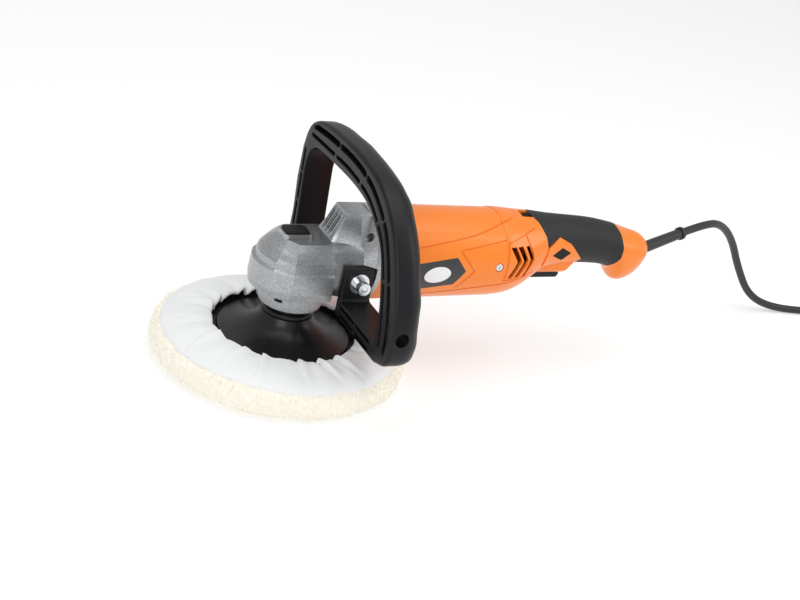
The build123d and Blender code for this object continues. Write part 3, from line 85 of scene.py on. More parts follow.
studioFacts = {
    "worldStrength": 0.62,
    "softboxes": {  # place, aim, size, watts
        "topSoftbox": ((0.15, -0.1, 1.5), (0.12, 0, 0), (1.5, 1.1), 9),
        "leftSoftbox": ((-0.9, -1.2, 0.8), (0.1, 0, 0.1), (0.9, 0.9), 6),
        "rightSoftbox": ((1.3, -0.7, 0.9), (0.15, 0, 0.1), (0.6, 1.0), 4.5),
    },
    "floorReach": 6.0, "floorColor": (0.55, 0.55, 0.55), "floorRoughness": 0.7, "floorGloss": 0.1, "floorGlow": 0.47,
}


def lightStudio():
    world = bpy.data.worlds.new("paleStudio")
    bpy.context.scene.world = world
    world.use_nodes = True
    world.node_tree.nodes["Background"].inputs["Color"].default_value = (1, 1, 1, 1)
    world.node_tree.nodes["Background"].inputs["Strength"].default_value = studioFacts["worldStrength"]
    for name, facts in studioFacts["softboxes"].items():
        addSoftbox(name, *facts)
    bpy.context.scene.view_settings.view_transform = "Standard"


def layFloor():
    mesh = bpy.data.meshes.new("studioFloor")
    reach = studioFacts["floorReach"]
    corners = [(-reach, -reach, 0), (reach, -reach, 0), (reach, reach, 0), (-reach, reach, 0)]
    mesh.from_pydata(corners, [], [(0, 1, 2, 3)])
    floor = bpy.data.objects.new("studioFloor", mesh)
    bpy.context.scene.collection.objects.link(floor)
    paleFloor = plainMaterial("paleFloor", studioFacts["floorColor"], studioFacts["floorRoughness"])
    shader = paleFloor.node_tree.nodes["Principled BSDF"]
    shader.inputs["Specular IOR Level"].default_value = studioFacts["floorGloss"]
    shader.inputs["Emission Color"].default_value = (1, 1, 1, 1)
    shader.inputs["Emission Strength"].default_value = studioFacts["floorGlow"]
    floor.data.materials.append(paleFloor)


# ---- materials
def plainMaterial(name, color, roughness, metallic=0.0):
    material = bpy.data.materials.new(name)
    material.use_nodes = True
    shader = material.node_tree.nodes["Principled BSDF"]
    shader.inputs["Base Color"].default_value = (*color, 1)
    shader.inputs["Roughness"].default_value = roughness
    shader.inputs["Metallic"].default_value = metallic
    return material


def addNode(material, kind, **sockets):
    node = material.node_tree.nodes.new(kind)
    for socket, value in sockets.items():
        node.inputs[socket.replace("_", " ")].default_value = value
    return node


def join(material, source, outlet, target, inlet):
    material.node_tree.links.new(source.outputs[outlet], target.inputs[inlet])


def grainMaterial(name, color, darker, roughness, spread=0.08, scale=400.0, metallic=0.0, bump=0.1,
                  bumpDistance=0.0002, patch=14.0, coat=0.0, sheen=0.0, gloss=0.5, fleck=0.0):
    # colour drifts in large soft patches, roughness and bump follow a fine grain
    material = plainMaterial(name, color, roughness, metallic)
    shader = material.node_tree.nodes["Principled BSDF"]
    shader.inputs["Coat Weight"].default_value = coat
    shader.inputs["Sheen Weight"].default_value = sheen
    shader.inputs["Specular IOR Level"].default_value = gloss
    place = addNode(material, "ShaderNodeTexCoord")
    drift = addNode(material, "ShaderNodeTexNoise", Scale=patch, Detail=3.0)
    grain = addNode(material, "ShaderNodeTexNoise", Scale=scale, Detail=4.0)
    join(material, place, "Object", drift, "Vector")
    join(material, place, "Object", grain, "Vector")
    tint = addNode(material, "ShaderNodeMix")
    tint.data_type = "RGBA"
    tint.inputs[6].default_value = (*darker, 1)
    tint.inputs[7].default_value = (*color, 1)
    join(material, drift, "Fac", tint, 0)
    if fleck:
        speck = addNode(material, "ShaderNodeTexNoise", Scale=scale * 0.6, Detail=2.0)
        join(material, place, "Object", speck, "Vector")
        level = addNode(material, "ShaderNodeMapRange")
        level.inputs["From Min"].default_value = 0.35
        level.inputs["From Max"].default_value = 0.65
        level.inputs["To Min"].default_value = 1 - fleck
        level.inputs["To Max"].default_value = 1 + fleck
        join(material, speck, "Fac", level, "Value")
        blend = addNode(material, "ShaderNodeVectorMath")
        blend.operation = "SCALE"
        material.node_tree.links.new(tint.outputs[2], blend.inputs[0])
        join(material, level, "Result", blend, "Scale")
        material.node_tree.links.new(blend.outputs[0], shader.inputs["Base Color"])
    else:
        material.node_tree.links.new(tint.outputs[2], shader.inputs["Base Color"])
    spreadNode = addNode(material, "ShaderNodeMapRange")
    spreadNode.inputs["To Min"].default_value = roughness - spread
    spreadNode.inputs["To Max"].default_value = roughness + spread
    join(material, grain, "Fac", spreadNode, "Value")
    join(material, spreadNode, "Result", shader, "Roughness")
    bumpNode = addNode(material, "ShaderNodeBump", Strength=bump, Distance=bumpDistance)
    join(material, grain, "Fac", bumpNode, "Height")
    join(material, bumpNode, "Normal", shader, "Normal")
    return material


def dress(material, *names):
    for name in names:
        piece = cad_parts[name]
        piece.data.materials.clear()
        piece.data.materials.append(material)


orangePlastic = grainMaterial("orangeHousing", (0.93, 0.235, 0.012), (0.88, 0.205, 0.010), 0.30, 0.05, 900,
                              coat=0.15, bump=0.05)
castAlloy = grainMaterial("castAlloy", (0.44, 0.45, 0.46), (0.38, 0.39, 0.40), 0.34, 0.08, 1500,
                          metallic=0.9, bump=0.5, bumpDistance=0.00014, fleck=0.20)
bronzedSteel = grainMaterial("bronzedSteel", (0.20, 0.15, 0.10), (0.12, 0.09, 0.06), 0.30, 0.08, 700, metallic=1.0)
zincSteel = grainMaterial("zincSteel", (0.78, 0.80, 0.82), (0.66, 0.68, 0.70), 0.22, 0.06, 500, metallic=1.0, bump=0.04)
groundSteel = grainMaterial("groundSteel", (0.55, 0.55, 0.56), (0.45, 0.45, 0.46), 0.28, 0.06, 600,
                            metallic=1.0, bump=0.05)
copperWire = grainMaterial("copperWire", (0.62, 0.26, 0.11), (0.42, 0.16, 0.07), 0.35, 0.08, 900, metallic=0.9)
satinBlack = grainMaterial("satinBlack", (0.011, 0.011, 0.012), (0.008, 0.008, 0.009), 0.42, 0.07, 700,
                           bump=0.08, gloss=0.26)
gripRubber = grainMaterial("gripRubber", (0.018, 0.018, 0.019), (0.014, 0.014, 0.015), 0.55, 0.08, 800,
                           bump=0.15, gloss=0.35)
padRubber = grainMaterial("padRubber", (0.008, 0.008, 0.009), (0.005, 0.005, 0.006), 0.30, 0.08, 300,
                          bump=0.10, gloss=0.38)
cordRubber = grainMaterial("cordRubber", (0.016, 0.016, 0.017), (0.012, 0.012, 0.012), 0.45, 0.08, 600, bump=0.1)
labelFilm = grainMaterial("labelFilm", (0.035, 0.036, 0.040), (0.030, 0.031, 0.034), 0.38, 0.05, 900, bump=0.04)
badgeEnamel = grainMaterial("badgeEnamel", (0.90, 0.90, 0.90), (0.84, 0.84, 0.84), 0.18, 0.04, 500,
                            coat=0.5, bump=0.02)
cottonTwill = grainMaterial("cottonTwill", (0.86, 0.87, 0.875), (0.82, 0.83, 0.84), 0.85, 0.06, 1500,
                            bump=0.4, sheen=0.15)
woolPile = grainMaterial("woolPile", (0.92, 0.89, 0.79), (0.89, 0.85, 0.74), 0.92, 0.05, 520,
                         bump=0.6, bumpDistance=0.0012, patch=30.0, sheen=0.35)
# painted light: a faint cream emission brightens the wool pile where its own tufts shade it
woolGlow = woolPile.node_tree.nodes["Principled BSDF"]
woolGlow.inputs["Emission Color"].default_value = (1.0, 0.97, 0.90, 1)
woolGlow.inputs["Emission Strength"].default_value = 0.07

dress(castAlloy, "gear_case", "bearing_cap")
dress(bronzedSteel, "gear_case_screws", "bearing_cap_screws")
dress(zincSteel, "seam_screws", "shell_screws", "handle_washers",
      "handle_spring_washers", "handle_bolts", "cord_clamp_screws", "pad_hub", "plug_pins")
dress(groundSteel, "spindle", "crown_gear", "lock_ring", "pinion_gear", "spindle_bearing", "spindle_top_bearing",
      "front_armature_bearing", "rear_armature_bearing", "armature_shaft", "armature_core", "stator", "lock_pin",
      "lock_spring", "brush_springs", "trigger_spring")
dress(copperWire, "armature_windings", "commutator", "field_coils", "brush_holders")
dress(orangePlastic, "motor_housing", "left_rear_shell", "right_rear_shell")
dress(satinBlack, "spindle_lock_button", "trigger", "lock_on_button", "speed_dial", "d_handle", "cooling_fan",
      "air_baffle", "carbon_brushes", "switch_body", "speed_controller", "cord_clamp")
dress(gripRubber, "left_grip_rubber", "right_grip_rubber")
dress(padRubber, "backing_pad", "spindle_seal")
dress(cordRubber, "cord_boot", "power_cord", "cord_coil", "plug_body", "plug_lead")
dress(labelFilm, "label_plates")
dress(badgeEnamel, "badges")
dress(cottonTwill, "bonnet_cover", "hem_drawcord")
dress(woolPile, "bonnet_wool")
print("materials made")

placeCamera()
lightStudio()
layFloor()
print("camera, lights and floor set")


# ---- mesh helpers
def makePiece(name, mesh, material, body, slotName, *nodes, angle=32.0):
    mesh.shade_smooth()
    mesh.set_sharp_from_angle(angle=math.radians(angle))
    piece = bpy.data.objects.new(name, mesh)
    bpy.context.scene.collection.objects.link(piece)
    mesh.materials.append(material)
    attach(piece, body)
    if nodes:
        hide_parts(*nodes)
    return piece


def meshFrom(name, bm):
    bmesh.ops.recalc_face_normals(bm, faces=bm.faces)
    mesh = bpy.data.meshes.new(name)
    bm.to_mesh(mesh)
    bm.free()
    return mesh


def bandBetween(bm, first, second):
    # one band of faces between two rings, or a fan where a ring is a single point
    count = max(len(first), len(second))
    for i in range(count):
        j = (i + 1) % count
        if len(first) == 1:
            bm.faces.new((first[0], second[i], second[j]))
        elif len(second) == 1:
            bm.faces.new((first[i], first[j], second[0]))
        else:
            bm.faces.new((first[i], first[j], second[j], second[i]))


def curveThrough(points, steps):
    # smooth path through 2-D points, ends kept
    path = []
    last = len(points) - 1
    for index in range(last):
        before = points[max(index - 1, 0)]
        a, b = points[index], points[index + 1]
        after = points[min(index + 2, last)]
        for step in range(steps):
            t = step / steps
            path.append(tuple(0.5 * (2 * a[k] + (b[k] - before[k]) * t
                                     + (2 * before[k] - 5 * a[k] + 4 * b[k] - after[k]) * t * t
                                     + (3 * a[k] - before[k] - 3 * b[k] + after[k]) * t ** 3) for k in (0, 1)))
    path.append(tuple(points[last]))
    return path


def roundCorners(points, radius, steps=5):
    # closed outline; corners sharper than 25 degrees become arcs
    rounded = []
    count = len(points)
    for index in range(count):
        a, b, c = (Vector(points[(index + shift) % count]) for shift in (-1, 0, 1))
        inward, outward = (b - a), (c - b)
        turn = inward.angle_signed(outward) if inward.length and outward.length else 0
        if abs(turn) < math.radians(25):
            rounded.append(tuple(b))
            continue
        reach = min(radius * math.tan(abs(turn) / 2), 0.45 * inward.length, 0.45 * outward.length)
        start, end = b - inward.normalized() * reach, b + outward.normalized() * reach
        for step in range(steps + 1):
            t = step / steps
            rounded.append(tuple((1 - t) ** 2 * start + 2 * t * (1 - t) * b + t * t * end))
    return rounded


def insetDirections(points):
    # inward mitre direction at each point of a counter-clockwise outline
    ways = []
    count = len(points)
    for index in range(count):
        a, b, c = (Vector(points[(index + shift) % count]) for shift in (-1, 0, 1))
        first = (b - a).normalized()
        second = (c - b).normalized()
        normal = Vector((-(first.y + second.y), first.x + second.x))
        normal.normalize()
        share = max(0.5, normal.dot(Vector((-first.y, first.x))))
        ways.append(normal / share)
    return ways


def softStep(value):
    value = min(1.0, max(0.0, value))
    return value * value * (3 - 2 * value)


def isClockwise(points):
    return sum(a[0] * b[1] - b[0] * a[1] for a, b in zip(points, points[1:] + points[:1])) < 0


# ---- D-handle: crowned rim, ribbed front, key hole through the thick side
handleShape = {
    "crown": [(80.0, 150.0), (77.5, 162.0), (70.0, 172.5), (52.0, 179.8), (22.6, 183.2), (-8.8, 184.0), (-39.5, 181.6),
              (-60.0, 177.0), (-80.5, 166.0), (-99.2, 147.2), (-113.6, 121.9), (-121.2, 103.0), (-124.2, 88.0),
              (-123.6, 72.0), (-118.0, 61.6), (-104.0, 56.7)],
    "bottomBar": (56.7, 70.4),
    "inner": [(-100.5, 70.4), (-95.5, 96.7), (-87.0, 119.0), (-78.4, 135.0), (-62.5, 147.5), (-45.7, 155.5),
              (-18.6, 159.4), (18.0, 159.2), (50.0, 157.7), (61.0, 153.5), (66.5, 145.0), (68.4, 134.0)],
    "farArm": [(64.2, 92.0), (64.2, 70.4)],
    "farHeel": [(70.0, 56.7), (75.8, 63.0), (75.8, 96.0), (79.8, 122.0)],
    "rimFillet": 3.2, "rearRound": 13.5, "heelShare": 0.55, "edgeFillet": 1.2, "cornerRound": 3.0,
    "lugInside": 30.1, "lugOutside": 36.0, "lugTop": 98.0, "boltHole": 3.3, "keyX": 33.0,
    "slotDepth": 9.0, "slotLip": 0.55,
    "barSlots": [(-91.0, -67.0), (-62.5, -37.5)], "barRows": (60.3, 66.6), "barWidth": 3.6,
    "armSlots": [(84.0, 103.0), (107.0, 127.0), (131.0, 148.0)], "armWidth": 4.0,
    "rowOuter": [(64.0, 171.4), (32.3, 174.8), (-9.7, 176.4), (-40.0, 172.6), (-61.0, 164.6), (-80.5, 151.5),
                 (-93.0, 134.8), (-103.0, 116.0), (-109.2, 100.0), (-113.6, 84.0), (-114.6, 68.0)],
    "rowInner": [(66.0, 163.6), (36.8, 165.0), (-5.4, 166.4), (-37.0, 163.2), (-56.0, 156.6), (-76.0, 143.6),
                 (-88.6, 126.2), (-97.2, 106.5), (-101.8, 90.5), (-104.6, 78.0), (-105.6, 68.0)],
    "breaks": [(0.0, 0.185), (0.21, 0.395), (0.42, 0.575), (0.60, 0.765), (0.79, 0.985)],
    "widths": (5.8, 4.0), "keyRadius": 5.4,
}


def slotLoop(centreLine, width, capSteps=6):
    # rounded slot round an open centre line, all in the front face's plane
    left, right = [], []
    for index, point in enumerate(centreLine):
        a = Vector(centreLine[max(index - 1, 0)])
        b = Vector(centreLine[min(index + 1, len(centreLine) - 1)])
        way = (b - a).normalized()
        side = Vector((-way.y, way.x)) * width / 2
        left.append(tuple(Vector(point) + side))
        right.append(tuple(Vector(point) - side))
    caps = []
    for end, before in ((centreLine[-1], centreLine[-2]), (centreLine[0], centreLine[1])):
        way = (Vector(end) - Vector(before)).normalized()
        base = math.atan2(way.y, way.x)
        caps.append([(end[0] + width / 2 * math.cos(base + math.pi / 2 - math.pi * k / capSteps),
                      end[1] + width / 2 * math.sin(base + math.pi / 2 - math.pi * k / capSteps))
                     for k in range(1, capSteps)])
    return left + caps[0] + right[::-1] + caps[1]


def stretchOf(line, start, end, count=14):
    # evenly shared points of a line between two shares of its length
    lengths = [0.0]
    for a, b in zip(line, line[1:]):
        lengths.append(lengths[-1] + math.dist(a, b))
    points = []
    for index in range(count):
        goal = lengths[-1] * (start + (end - start) * index / (count - 1))
        spot = next(k for k in range(1, len(lengths)) if lengths[k] >= goal - 1e-9)
        t = (goal - lengths[spot - 1]) / (lengths[spot] - lengths[spot - 1])
        points.append(tuple(line[spot - 1][k] + (line[spot][k] - line[spot - 1][k]) * t for k in (0, 1)))
    return points


def rimDrop(fillet, dx):
    if dx >= fillet:
        return 0.0
    return fillet - math.sqrt(fillet ** 2 - (fillet - dx) ** 2)


def shapeHandle():
    low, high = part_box("d_handle")
    frontX, backX = low[0] / mm, high[0] / mm
    depth = backX - frontX
    shape = handleShape
    lugIn, lugY, lugTop = shape["lugInside"], shape["lugOutside"], shape["lugTop"]
    barLow, barHigh = shape["bottomBar"]
    crown = curveThrough(shape["crown"], 8)
    inner = curveThrough(shape["inner"], 6)
    straight = [(-lugIn, barLow), (-lugIn, lugTop), (-lugY, lugTop), (-lugY, barHigh)]
    farSide = shape["farArm"] + [(lugY, barHigh), (lugY, lugTop), (lugIn, lugTop), (lugIn, barLow)]
    farSide += shape["farHeel"]
    outline = crown + straight + inner + farSide
    outline = roundCorners(outline, shape["cornerRound"])
    if isClockwise(outline):
        outline = outline[::-1]
    ways = insetDirections(outline)
    crownSet = {(round(p[0], 3), round(p[1], 3)) for p in crown}
    weights = [1.0 if (round(p[0], 3), round(p[1], 3)) in crownSet else 0.0 for p in outline]
    for _ in range(6):
        count = len(weights)
        weights = [(weights[i - 1] + weights[i] + weights[(i + 1) % count]) / 3 for i in range(count)]
    bm = bmesh.new()
    loops = []
    levels = [0.0, 0.15, 0.4, 0.8, 1.4, 2.2, 3.2, 5.5, 8.5]
    levels += [depth - step for step in (13.5, 11.2, 9.2, 7.6, 6.2, 4.5, 3.1, 2.0, 1.2, 0.6, 0.25, 0.08, 0.0)]
    for level in levels:
        dx = min(level, depth - level)
        loop = []
        for point, way, weight in zip(outline, ways, weights):
            heel = shape["heelShare"] + (1 - shape["heelShare"]) * softStep((point[1] - 60) / 34)
            rim = rimDrop(shape["rimFillet"], level) + heel * rimDrop(shape["rearRound"], depth - level)
            edge = rimDrop(shape["edgeFillet"], dx)
            spot = Vector(point) + way * (rim * weight + edge * (1 - weight))
            loop.append(bm.verts.new(((frontX + level) * mm, spot.x * mm, spot.y * mm)))
        loops.append(loop)
    for first, second in zip(loops, loops[1:]):
        bandBetween(bm, first, second)
    # back face
    backEdges = [bm.edges.get((loops[-1][i], loops[-1][i - 1])) for i in range(len(outline))]
    bmesh.ops.triangle_fill(bm, edges=backEdges)
    # front face with its slots
    slots = []
    for row, width in zip((shape["rowOuter"], shape["rowInner"]), shape["widths"]):
        line = curveThrough(row, 10)
        for start, end in shape["breaks"]:
            slots.append((stretchOf(line, start, end), width))
    for start, end in shape["barSlots"]:
        for height in shape["barRows"]:
            slots.append((stretchOf([(start, height), (end, height)], 0, 1, 5), shape["barWidth"]))
    for start, end in shape["armSlots"]:
        foot, head = (69.3 + (height - 84) * 0.07 for height in (start, end))  # the far arm leans outward
        slots.append((stretchOf([(foot, start), (head, end)], 0, 1, 5), shape["armWidth"]))
    frontEdges = [bm.edges.get((loops[0][i], loops[0][i - 1])) for i in range(len(outline))]
    lip = shape["slotLip"]
    for line, width in slots:
        previous = None
        for sink, size in ((0.0, width), (lip * 0.4, width - 2 * lip * 0.75), (lip, width - 2 * lip),
                           (shape["slotDepth"], width - 2 * lip - 0.3)):
            ring = [bm.verts.new(((frontX + sink) * mm, p[0] * mm, p[1] * mm)) for p in slotLoop(line, size)]
            if previous is None:
                frontEdges += [bm.edges.new((ring[i - 1], ring[i])) for i in range(len(ring))]
            else:
                for i in range(len(ring)):
                    bm.faces.new((previous[i - 1], previous[i], ring[i], ring[i - 1]))
            previous = ring
        bm.faces.new(previous)
    bmesh.ops.triangle_fill(bm, edges=frontEdges, use_beauty=True)
    mesh = meshFrom("handleGrip", bm)
    body = makePiece("handleGrip", mesh, handlePlastic, "body", "handle_plastic", "d_handle", angle=28)
    cutKeyHole(body)
    return body


def cutKeyHole(body):
    boltLow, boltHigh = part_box("handle_bolts")
    boltX, boltZ = (boltLow[0] + boltHigh[0]) / 2 / mm, (boltLow[2] + boltHigh[2]) / 2
    cutters = []
    for radius, middleX, startY, endY in ((handleShape["keyRadius"], handleShape["keyX"], -0.140, -0.090),
                                          (handleShape["boltHole"], boltX, -0.040, -0.026),
                                          (handleShape["boltHole"], boltX, 0.026, 0.040)):
        bm = bmesh.new()
        bmesh.ops.create_cone(bm, cap_ends=True, segments=48, radius1=radius * mm, radius2=radius * mm,
                              depth=endY - startY)
        bmesh.ops.rotate(bm, verts=bm.verts, matrix=Matrix.Rotation(math.pi / 2, 3, "X"))
        bmesh.ops.translate(bm, verts=bm.verts, vec=(middleX * mm, (startY + endY) / 2, boltZ))
        cutters.append(meshFrom("keyCutter", bm))
    for cutter in cutters:
        tool = bpy.data.objects.new("keyCutter", cutter)
        bpy.context.scene.collection.objects.link(tool)
        cut = body.modifiers.new("keyHole", "BOOLEAN")
        cut.operation = "DIFFERENCE"
        cut.solver = "EXACT"
        cut.object = tool
        bpy.context.view_layer.update()
        evaluated = body.evaluated_get(bpy.context.evaluated_depsgraph_get())
        result = bpy.data.meshes.new_from_object(evaluated)
        body.modifiers.clear()
        body.data = result
        bpy.data.objects.remove(tool)
    body.data.shade_smooth()
    body.data.set_sharp_from_angle(angle=math.radians(28))


# ---- bonnet: gathered cotton cover over a wool face
coverShape = {
    "profile": [(0.0, 92.8, 20.4), (0.05, 93.6, 22.4), (0.13, 92.0, 25.0), (0.26, 88.0, 27.6), (0.42, 81.6, 29.8),
                (0.62, 73.4, 31.5), (0.82, 65.0, 32.4), (1.0, 58.6, 32.2)],
    "pleats": 17, "around": 960, "across": 60, "thickness": 0.8, "sitsOff": (-1.8, 1.1),
    "cutRadius": 104.0, "hemRadius": 58.5, "fullness": 1.10,  # the flat cloth before it is gathered
}


def pleatTable():
    # each gather has its own place, depth, lean and reach towards the rim
    pleats = []
    for index in range(coverShape["pleats"]):
        share = (index + random.uniform(-0.30, 0.30)) / coverShape["pleats"]
        pleats.append({"angle": 2 * math.pi * share, "deep": random.uniform(0.55, 1.0),
                       "lean": random.uniform(-0.16, 0.16), "reach": random.uniform(0.62, 1.0),
                       "bow": random.uniform(-0.05, 0.05)})
    return pleats


def profileAt(profile, share):
    # smooth radius and height along a profile table
    spot = next(k for k in range(1, len(profile)) if profile[k][0] >= share - 1e-9)
    rows = [profile[min(max(k, 0), len(profile) - 1)] for k in (spot - 2, spot - 1, spot, spot + 1)]
    t = (share - rows[1][0]) / (rows[2][0] - rows[1][0])
    return tuple(0.5 * (2 * rows[1][k] + (rows[2][k] - rows[0][k]) * t
                        + (2 * rows[0][k] - 5 * rows[1][k] + 4 * rows[2][k] - rows[3][k]) * t * t
                        + (3 * rows[1][k] - rows[0][k] - 3 * rows[2][k] + rows[3][k]) * t ** 3) for k in (1, 2))


def coverPoint(angle, share, pleats):
    # share runs from 0 at the wool's rim to 1 at the hem
    radius, height = profileAt(coverShape["profile"], share)
    places = sorted(((pleat["angle"] + pleat["lean"] * (1 - share)
                      + pleat["bow"] * math.sin(math.pi * share)) % (2 * math.pi), index)
                    for index, pleat in enumerate(pleats))
    turn = angle % (2 * math.pi)
    following = next((k for k, place in enumerate(places) if place[0] > turn), 0)
    low, high = places[following - 1], places[following]
    span = (high[0] - low[0]) % (2 * math.pi)
    into = (turn - low[0]) % (2 * math.pi)
    gapMm, leftMm = into * radius, (span - into) * radius
    first, second = pleats[low[1]], pleats[high[1]]

    def hold(pleat):
        return pleat["deep"] * softStep((share - 1 + pleat["reach"]) / (0.9 * pleat["reach"])) ** 0.8

    # a folded lip on one side of each gather, a valley under it on the other, the cloth puffed between
    lip = hold(first) * 3.0 * math.exp(-(gapMm / 4.4) ** 2)
    roll = hold(first) * 1.4 * math.exp(-((gapMm - 8.5) / 4.0) ** 2)
    valley = hold(second) * 2.8 * math.exp(-(leftMm / 3.8) ** 1.4)
    puff = 1.3 * math.sin(math.pi * into / span) * (0.35 + 0.65 * share)
    puff *= math.sin(math.pi * min(1.0, 0.15 + 0.8 * share))
    around = Vector((math.cos(angle), math.sin(angle), 0))
    slow = noise.noise(around * 2.3 + Vector((0, 0, share * 1.4)))
    fine = noise.noise(around * 9.0 + Vector((3, 1, share * 3.2)))
    crinkle = noise.noise(around * 26.0 + Vector((7, 2, share * 5.0)))
    height += lip - roll - valley + puff + 0.9 * slow * math.sin(math.pi * share)
    height += 0.55 * fine * (0.3 + share) + 0.22 * crinkle * share
    pull = softStep((share - 0.62) / 0.38)
    radius += pull * (1.9 * (0.5 - into / span) * first["deep"] + 1.1 * fine - 0.9 * puff)
    radius += 0.9 * slow * (1 - share)
    return radius, height


def sewBonnetCover():
    shape = coverShape
    pleats = pleatTable()
    offX, offY = shape["sitsOff"]
    bm = bmesh.new()
    rings = []

    def addRing(share, inward, drop):
        ring = []
        shift = 1 - share
        for column in range(shape["around"]):
            angle = 2 * math.pi * column / shape["around"]
            radius, height = coverPoint(angle, share, pleats)
            radius -= inward
            ring.append(bm.verts.new(((radius * math.cos(angle) + offX * shift) * mm,
                                      (radius * math.sin(angle) + offY * shift) * mm, (height - drop) * mm)))
        rings.append(ring)

    for row in range(shape["across"] + 1):
        addRing(row / shape["across"], 0.0, 0.0)
    # the hem rolls over the elastic and tucks back under
    for inward, drop in ((0.8, 0.25), (1.5, 0.9), (1.8, 1.8), (1.5, 2.7), (0.7, 3.3), (-0.6, 3.5), (-2.2, 3.4)):
        addRing(1.0, inward, drop)
    for first, second in zip(rings, rings[1:]):
        bandBetween(bm, first, second)
    mesh = meshFrom("bonnetCover", bm)
    cover = makePiece("bonnetCover", mesh, cottonTwill, "spindle_group", "bonnet_cloth",
                      "bonnet_cover", "hem_drawcord", angle=80)
    thick = cover.modifiers.new("clothThickness", "SOLIDIFY")
    thick.thickness = shape["thickness"] * mm
    thick.offset = -1
    return cover


woolShape = {
    "around": 960, "disc": [(0.0, 0.6), (30.0, 0.6), (60.0, 0.6)],
    "rim": [(80.0, 0.6), (87.0, 0.9), (92.0, 1.8), (95.8, 3.6), (98.4, 6.4), (99.6, 9.6), (99.8, 13.0), (99.4, 16.4),
            (98.0, 19.4), (95.8, 21.8), (93.0, 22.8), (90.8, 22.0), (89.6, 20.0), (89.4, 17.0)],
    "seat": [(90.0, 13.6), (89.4, 13.0), (60.0, 13.0), (0.0, 13.0)],
    "tufts": 9000, "tuftLength": (1.2, 2.8), "tuftWidth": 0.5,
}


def growWool():
    # rounded wool face, its pile broken into small soft clumps
    path = woolShape["disc"] + curveThrough(woolShape["rim"], 4) + woolShape["seat"]
    offX, offY = coverShape["sitsOff"]
    bm = bmesh.new()
    rings = []
    for radius, height in path:
        if radius == 0:
            rings.append([bm.verts.new((0, 0, height * mm))])
            continue
        ring = []
        outer = softStep((radius - 84) / 8)
        for column in range(woolShape["around"]):
            angle = 2 * math.pi * column / woolShape["around"]
            way = Vector((math.cos(angle), math.sin(angle), 0))
            spot = way * radius + Vector((0, 0, height))
            slow = noise.noise(way * 2.6 + Vector((4, 0, 0)))
            clump = noise.noise(spot * 0.16) + 0.7 * noise.noise(spot * 0.42) + 0.5 * noise.noise(spot * 0.95)
            grow = (0.75 * clump + 0.9 * slow) * outer
            reach = radius + grow - 0.4 * outer
            lift = max(height + (clump * 0.6 * outer if height > 2 else 0), 0.0)
            ring.append(bm.verts.new(((reach * way.x + offX * outer) * mm,
                                      (reach * way.y + offY * outer) * mm, lift * mm)))
        rings.append(ring)
    for first, second in zip(rings, rings[1:]):
        bandBetween(bm, first, second)
    # short bent tufts stand out of the rim's pile
    bm.normal_update()
    bm.faces.ensure_lookup_table()
    fluffy = [face for face in bm.faces if math.hypot(*face.calc_center_median()[:2]) > 92 * mm]
    roots = []
    for _ in range(woolShape["tufts"]):
        face = random.choice(fluffy)
        roots.append((face.calc_center_median(), face.normal.copy()))
    for root, normal in roots:
        root = root + Vector([random.uniform(-0.4, 0.4) * mm for _ in range(3)])
        sweepWay = Vector([random.uniform(-1, 1) for _ in range(3)])
        across = normal.cross(sweepWay).normalized() * woolShape["tuftWidth"] * mm * random.uniform(0.6, 1.3)
        length = random.uniform(*woolShape["tuftLength"]) * mm
        middle = root + normal * length * 0.30 + sweepWay * length * 0.30
        tip = root + normal * length * 0.42 + sweepWay * length * 0.80
        if tip.z < 0.0002 or middle.z < 0.0002:
            continue
        corners = [bm.verts.new(spot) for spot in (root - across, root + across, middle + across * 0.6,
                                                   middle - across * 0.6, tip)]
        bm.faces.new(corners[:4])
        bm.faces.new((corners[3], corners[2], corners[4]))
    mesh = meshFrom("bonnetWool", bm)
    wool = makePiece("bonnetWool", mesh, woolPile, "spindle_group", "wool", "bonnet_wool", angle=80)
    return wool


# ---- backing pad: flared rubber with a step ring
padShape = {
    "around": 288,
    "profile": [(8.0, 13.6), (87.4, 13.6), (88.0, 14.2), (88.0, 18.4), (87.2, 20.6), (85.0, 23.2), (70.0, 24.0),
                (53.3, 24.7), (52.7, 24.9), (52.4, 25.4), (52.3, 26.2), (51.8, 26.7), (48.5, 27.2), (42.0, 28.8),
                (35.0, 31.2), (29.0, 34.4), (25.0, 37.8), (22.6, 41.0), (21.4, 43.6), (20.9, 44.6), (19.9, 44.9),
                (19.4, 45.3), (19.2, 46.7), (18.6, 47.5), (13.05, 47.5)],
    "bore": [(13.05, 20.0), (8.0, 18.0)],
}


def mouldPad():
    bm = bmesh.new()
    count = padShape["around"]
    rings = []
    turns = [2 * math.pi * i / count for i in range(count)]
    for radius, height in padShape["profile"] + padShape["bore"]:
        rings.append([bm.verts.new((radius * math.cos(turn) * mm, radius * math.sin(turn) * mm, height * mm))
                      for turn in turns])
    for first, second in zip(rings, rings[1:] + rings[:1]):
        bandBetween(bm, first, second)
    mesh = meshFrom("padRubberDisc", bm)
    return makePiece("padRubberDisc", mesh, padRubber, "spindle_group", "pad_rubber", "backing_pad", angle=24)


handlePlastic = grainMaterial("handlePlastic", (0.008, 0.008, 0.010), (0.005, 0.005, 0.007), 0.38, 0.08, 1400,
                              bump=0.14, gloss=0.26)
shapeHandle()
print("handle shaped")
sewBonnetCover()
growWool()
mouldPad()
print("pad and bonnet made")


# ---- mains cord: along its route, round its coil, to the plug
cordFacts = {
    "radius": 3.5,
    "route": [(367.3, 14.8, 104.4), (394.0, 23.5, 107.6), (424.0, 36.0, 104.5), (456.0, 50.0, 83.0),
              (482.0, 58.0, 48.0), (508.0, 60.0, 16.0), (540.0, 57.0, 3.5), (583.0, 48.0, 3.5),
              (628.0, 35.0, 3.5), (676.0, 26.0, 3.5)],
    "turnPoints": 16,
    "layers": [(45.5, 38.5, 31.5), (31.5, 38.5, 45.5), (45.5,)],
}


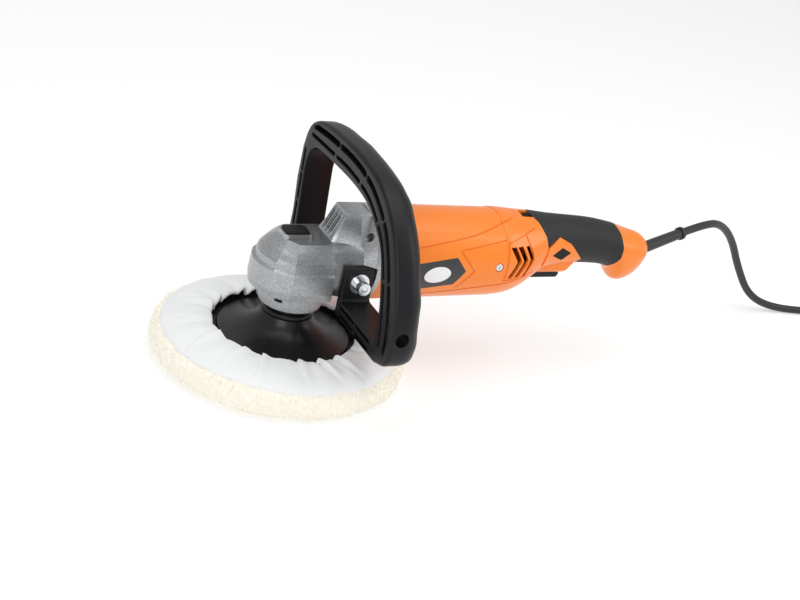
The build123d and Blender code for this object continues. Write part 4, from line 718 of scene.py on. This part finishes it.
def coilPoints(entry, direction):
    # flat spiral in, then out on the next layer, and one last turn on top
    radius = cordFacts["radius"]
    outer = cordFacts["layers"][0][0]
    sideways = Vector((direction.y, -direction.x, 0))
    centre = entry + sideways * outer
    start = math.atan2(entry.y - centre.y, entry.x - centre.x)
    layers = cordFacts["layers"]
    turns = [(ring, level) for level, rings in enumerate(layers) for ring in rings]
    points = []
    steps = cordFacts["turnPoints"]
    for index, (ring, level) in enumerate(turns):
        nextRing, nextLevel = turns[min(index + 1, len(turns) - 1)]
        for step in range(steps):
            share = step / steps
            ease = max(0.0, (share - 0.6) / 0.4)
            reach = ring + (nextRing - ring) * ease
            height = radius + 2 * radius * (level + (nextLevel - level) * ease)
            angle = start - 2 * math.pi * share
            points.append((centre.x + reach * math.cos(angle), centre.y + reach * math.sin(angle), height))
    return points


def layCord():
    route = [Vector(point) for point in cordFacts["route"]]
    direction = (route[-1] - route[-2]).normalized()
    turns = coilPoints(route[-1], direction)
    plugLow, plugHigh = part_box("plug_body")
    topExit = route[-1] + Vector((0, 0, 4 * cordFacts["radius"]))
    plugBack = route[-1] + direction * 40.0
    plugBack.z = (plugLow[2] + plugHigh[2]) / 2 / mm
    ends = [topExit, topExit.lerp(plugBack, 0.5), plugBack]
    points = [tuple(point) for point in route[:-1]] + turns + [tuple(point) for point in ends]
    curve = bpy.data.curves.new("mainsCord", "CURVE")
    curve.dimensions = "3D"
    spline = curve.splines.new("NURBS")
    spline.points.add(len(points) - 1)
    for point, place in zip(spline.points, points):
        point.co = (*[value * mm for value in place], 1)
    spline.order_u = 3
    spline.use_endpoint_u = True
    spline.resolution_u = 6
    curve.bevel_depth = cordFacts["radius"] * mm
    curve.bevel_resolution = 6
    curve.use_fill_caps = True
    line = bpy.data.objects.new("cordLine", curve)
    bpy.context.scene.collection.objects.link(line)
    tube = bpy.data.meshes.new_from_object(line)
    curve.bevel_depth = 0
    centreLine = [vertex.co.copy() for vertex in bpy.data.meshes.new_from_object(line).vertices]
    bpy.data.objects.remove(line)
    cord = makePiece("mainsCord", tube, cordRubber, "body", "cord_rubber",
                     "power_cord", "cord_coil", "plug_lead", angle=60)


layCord()
print("cord laid")
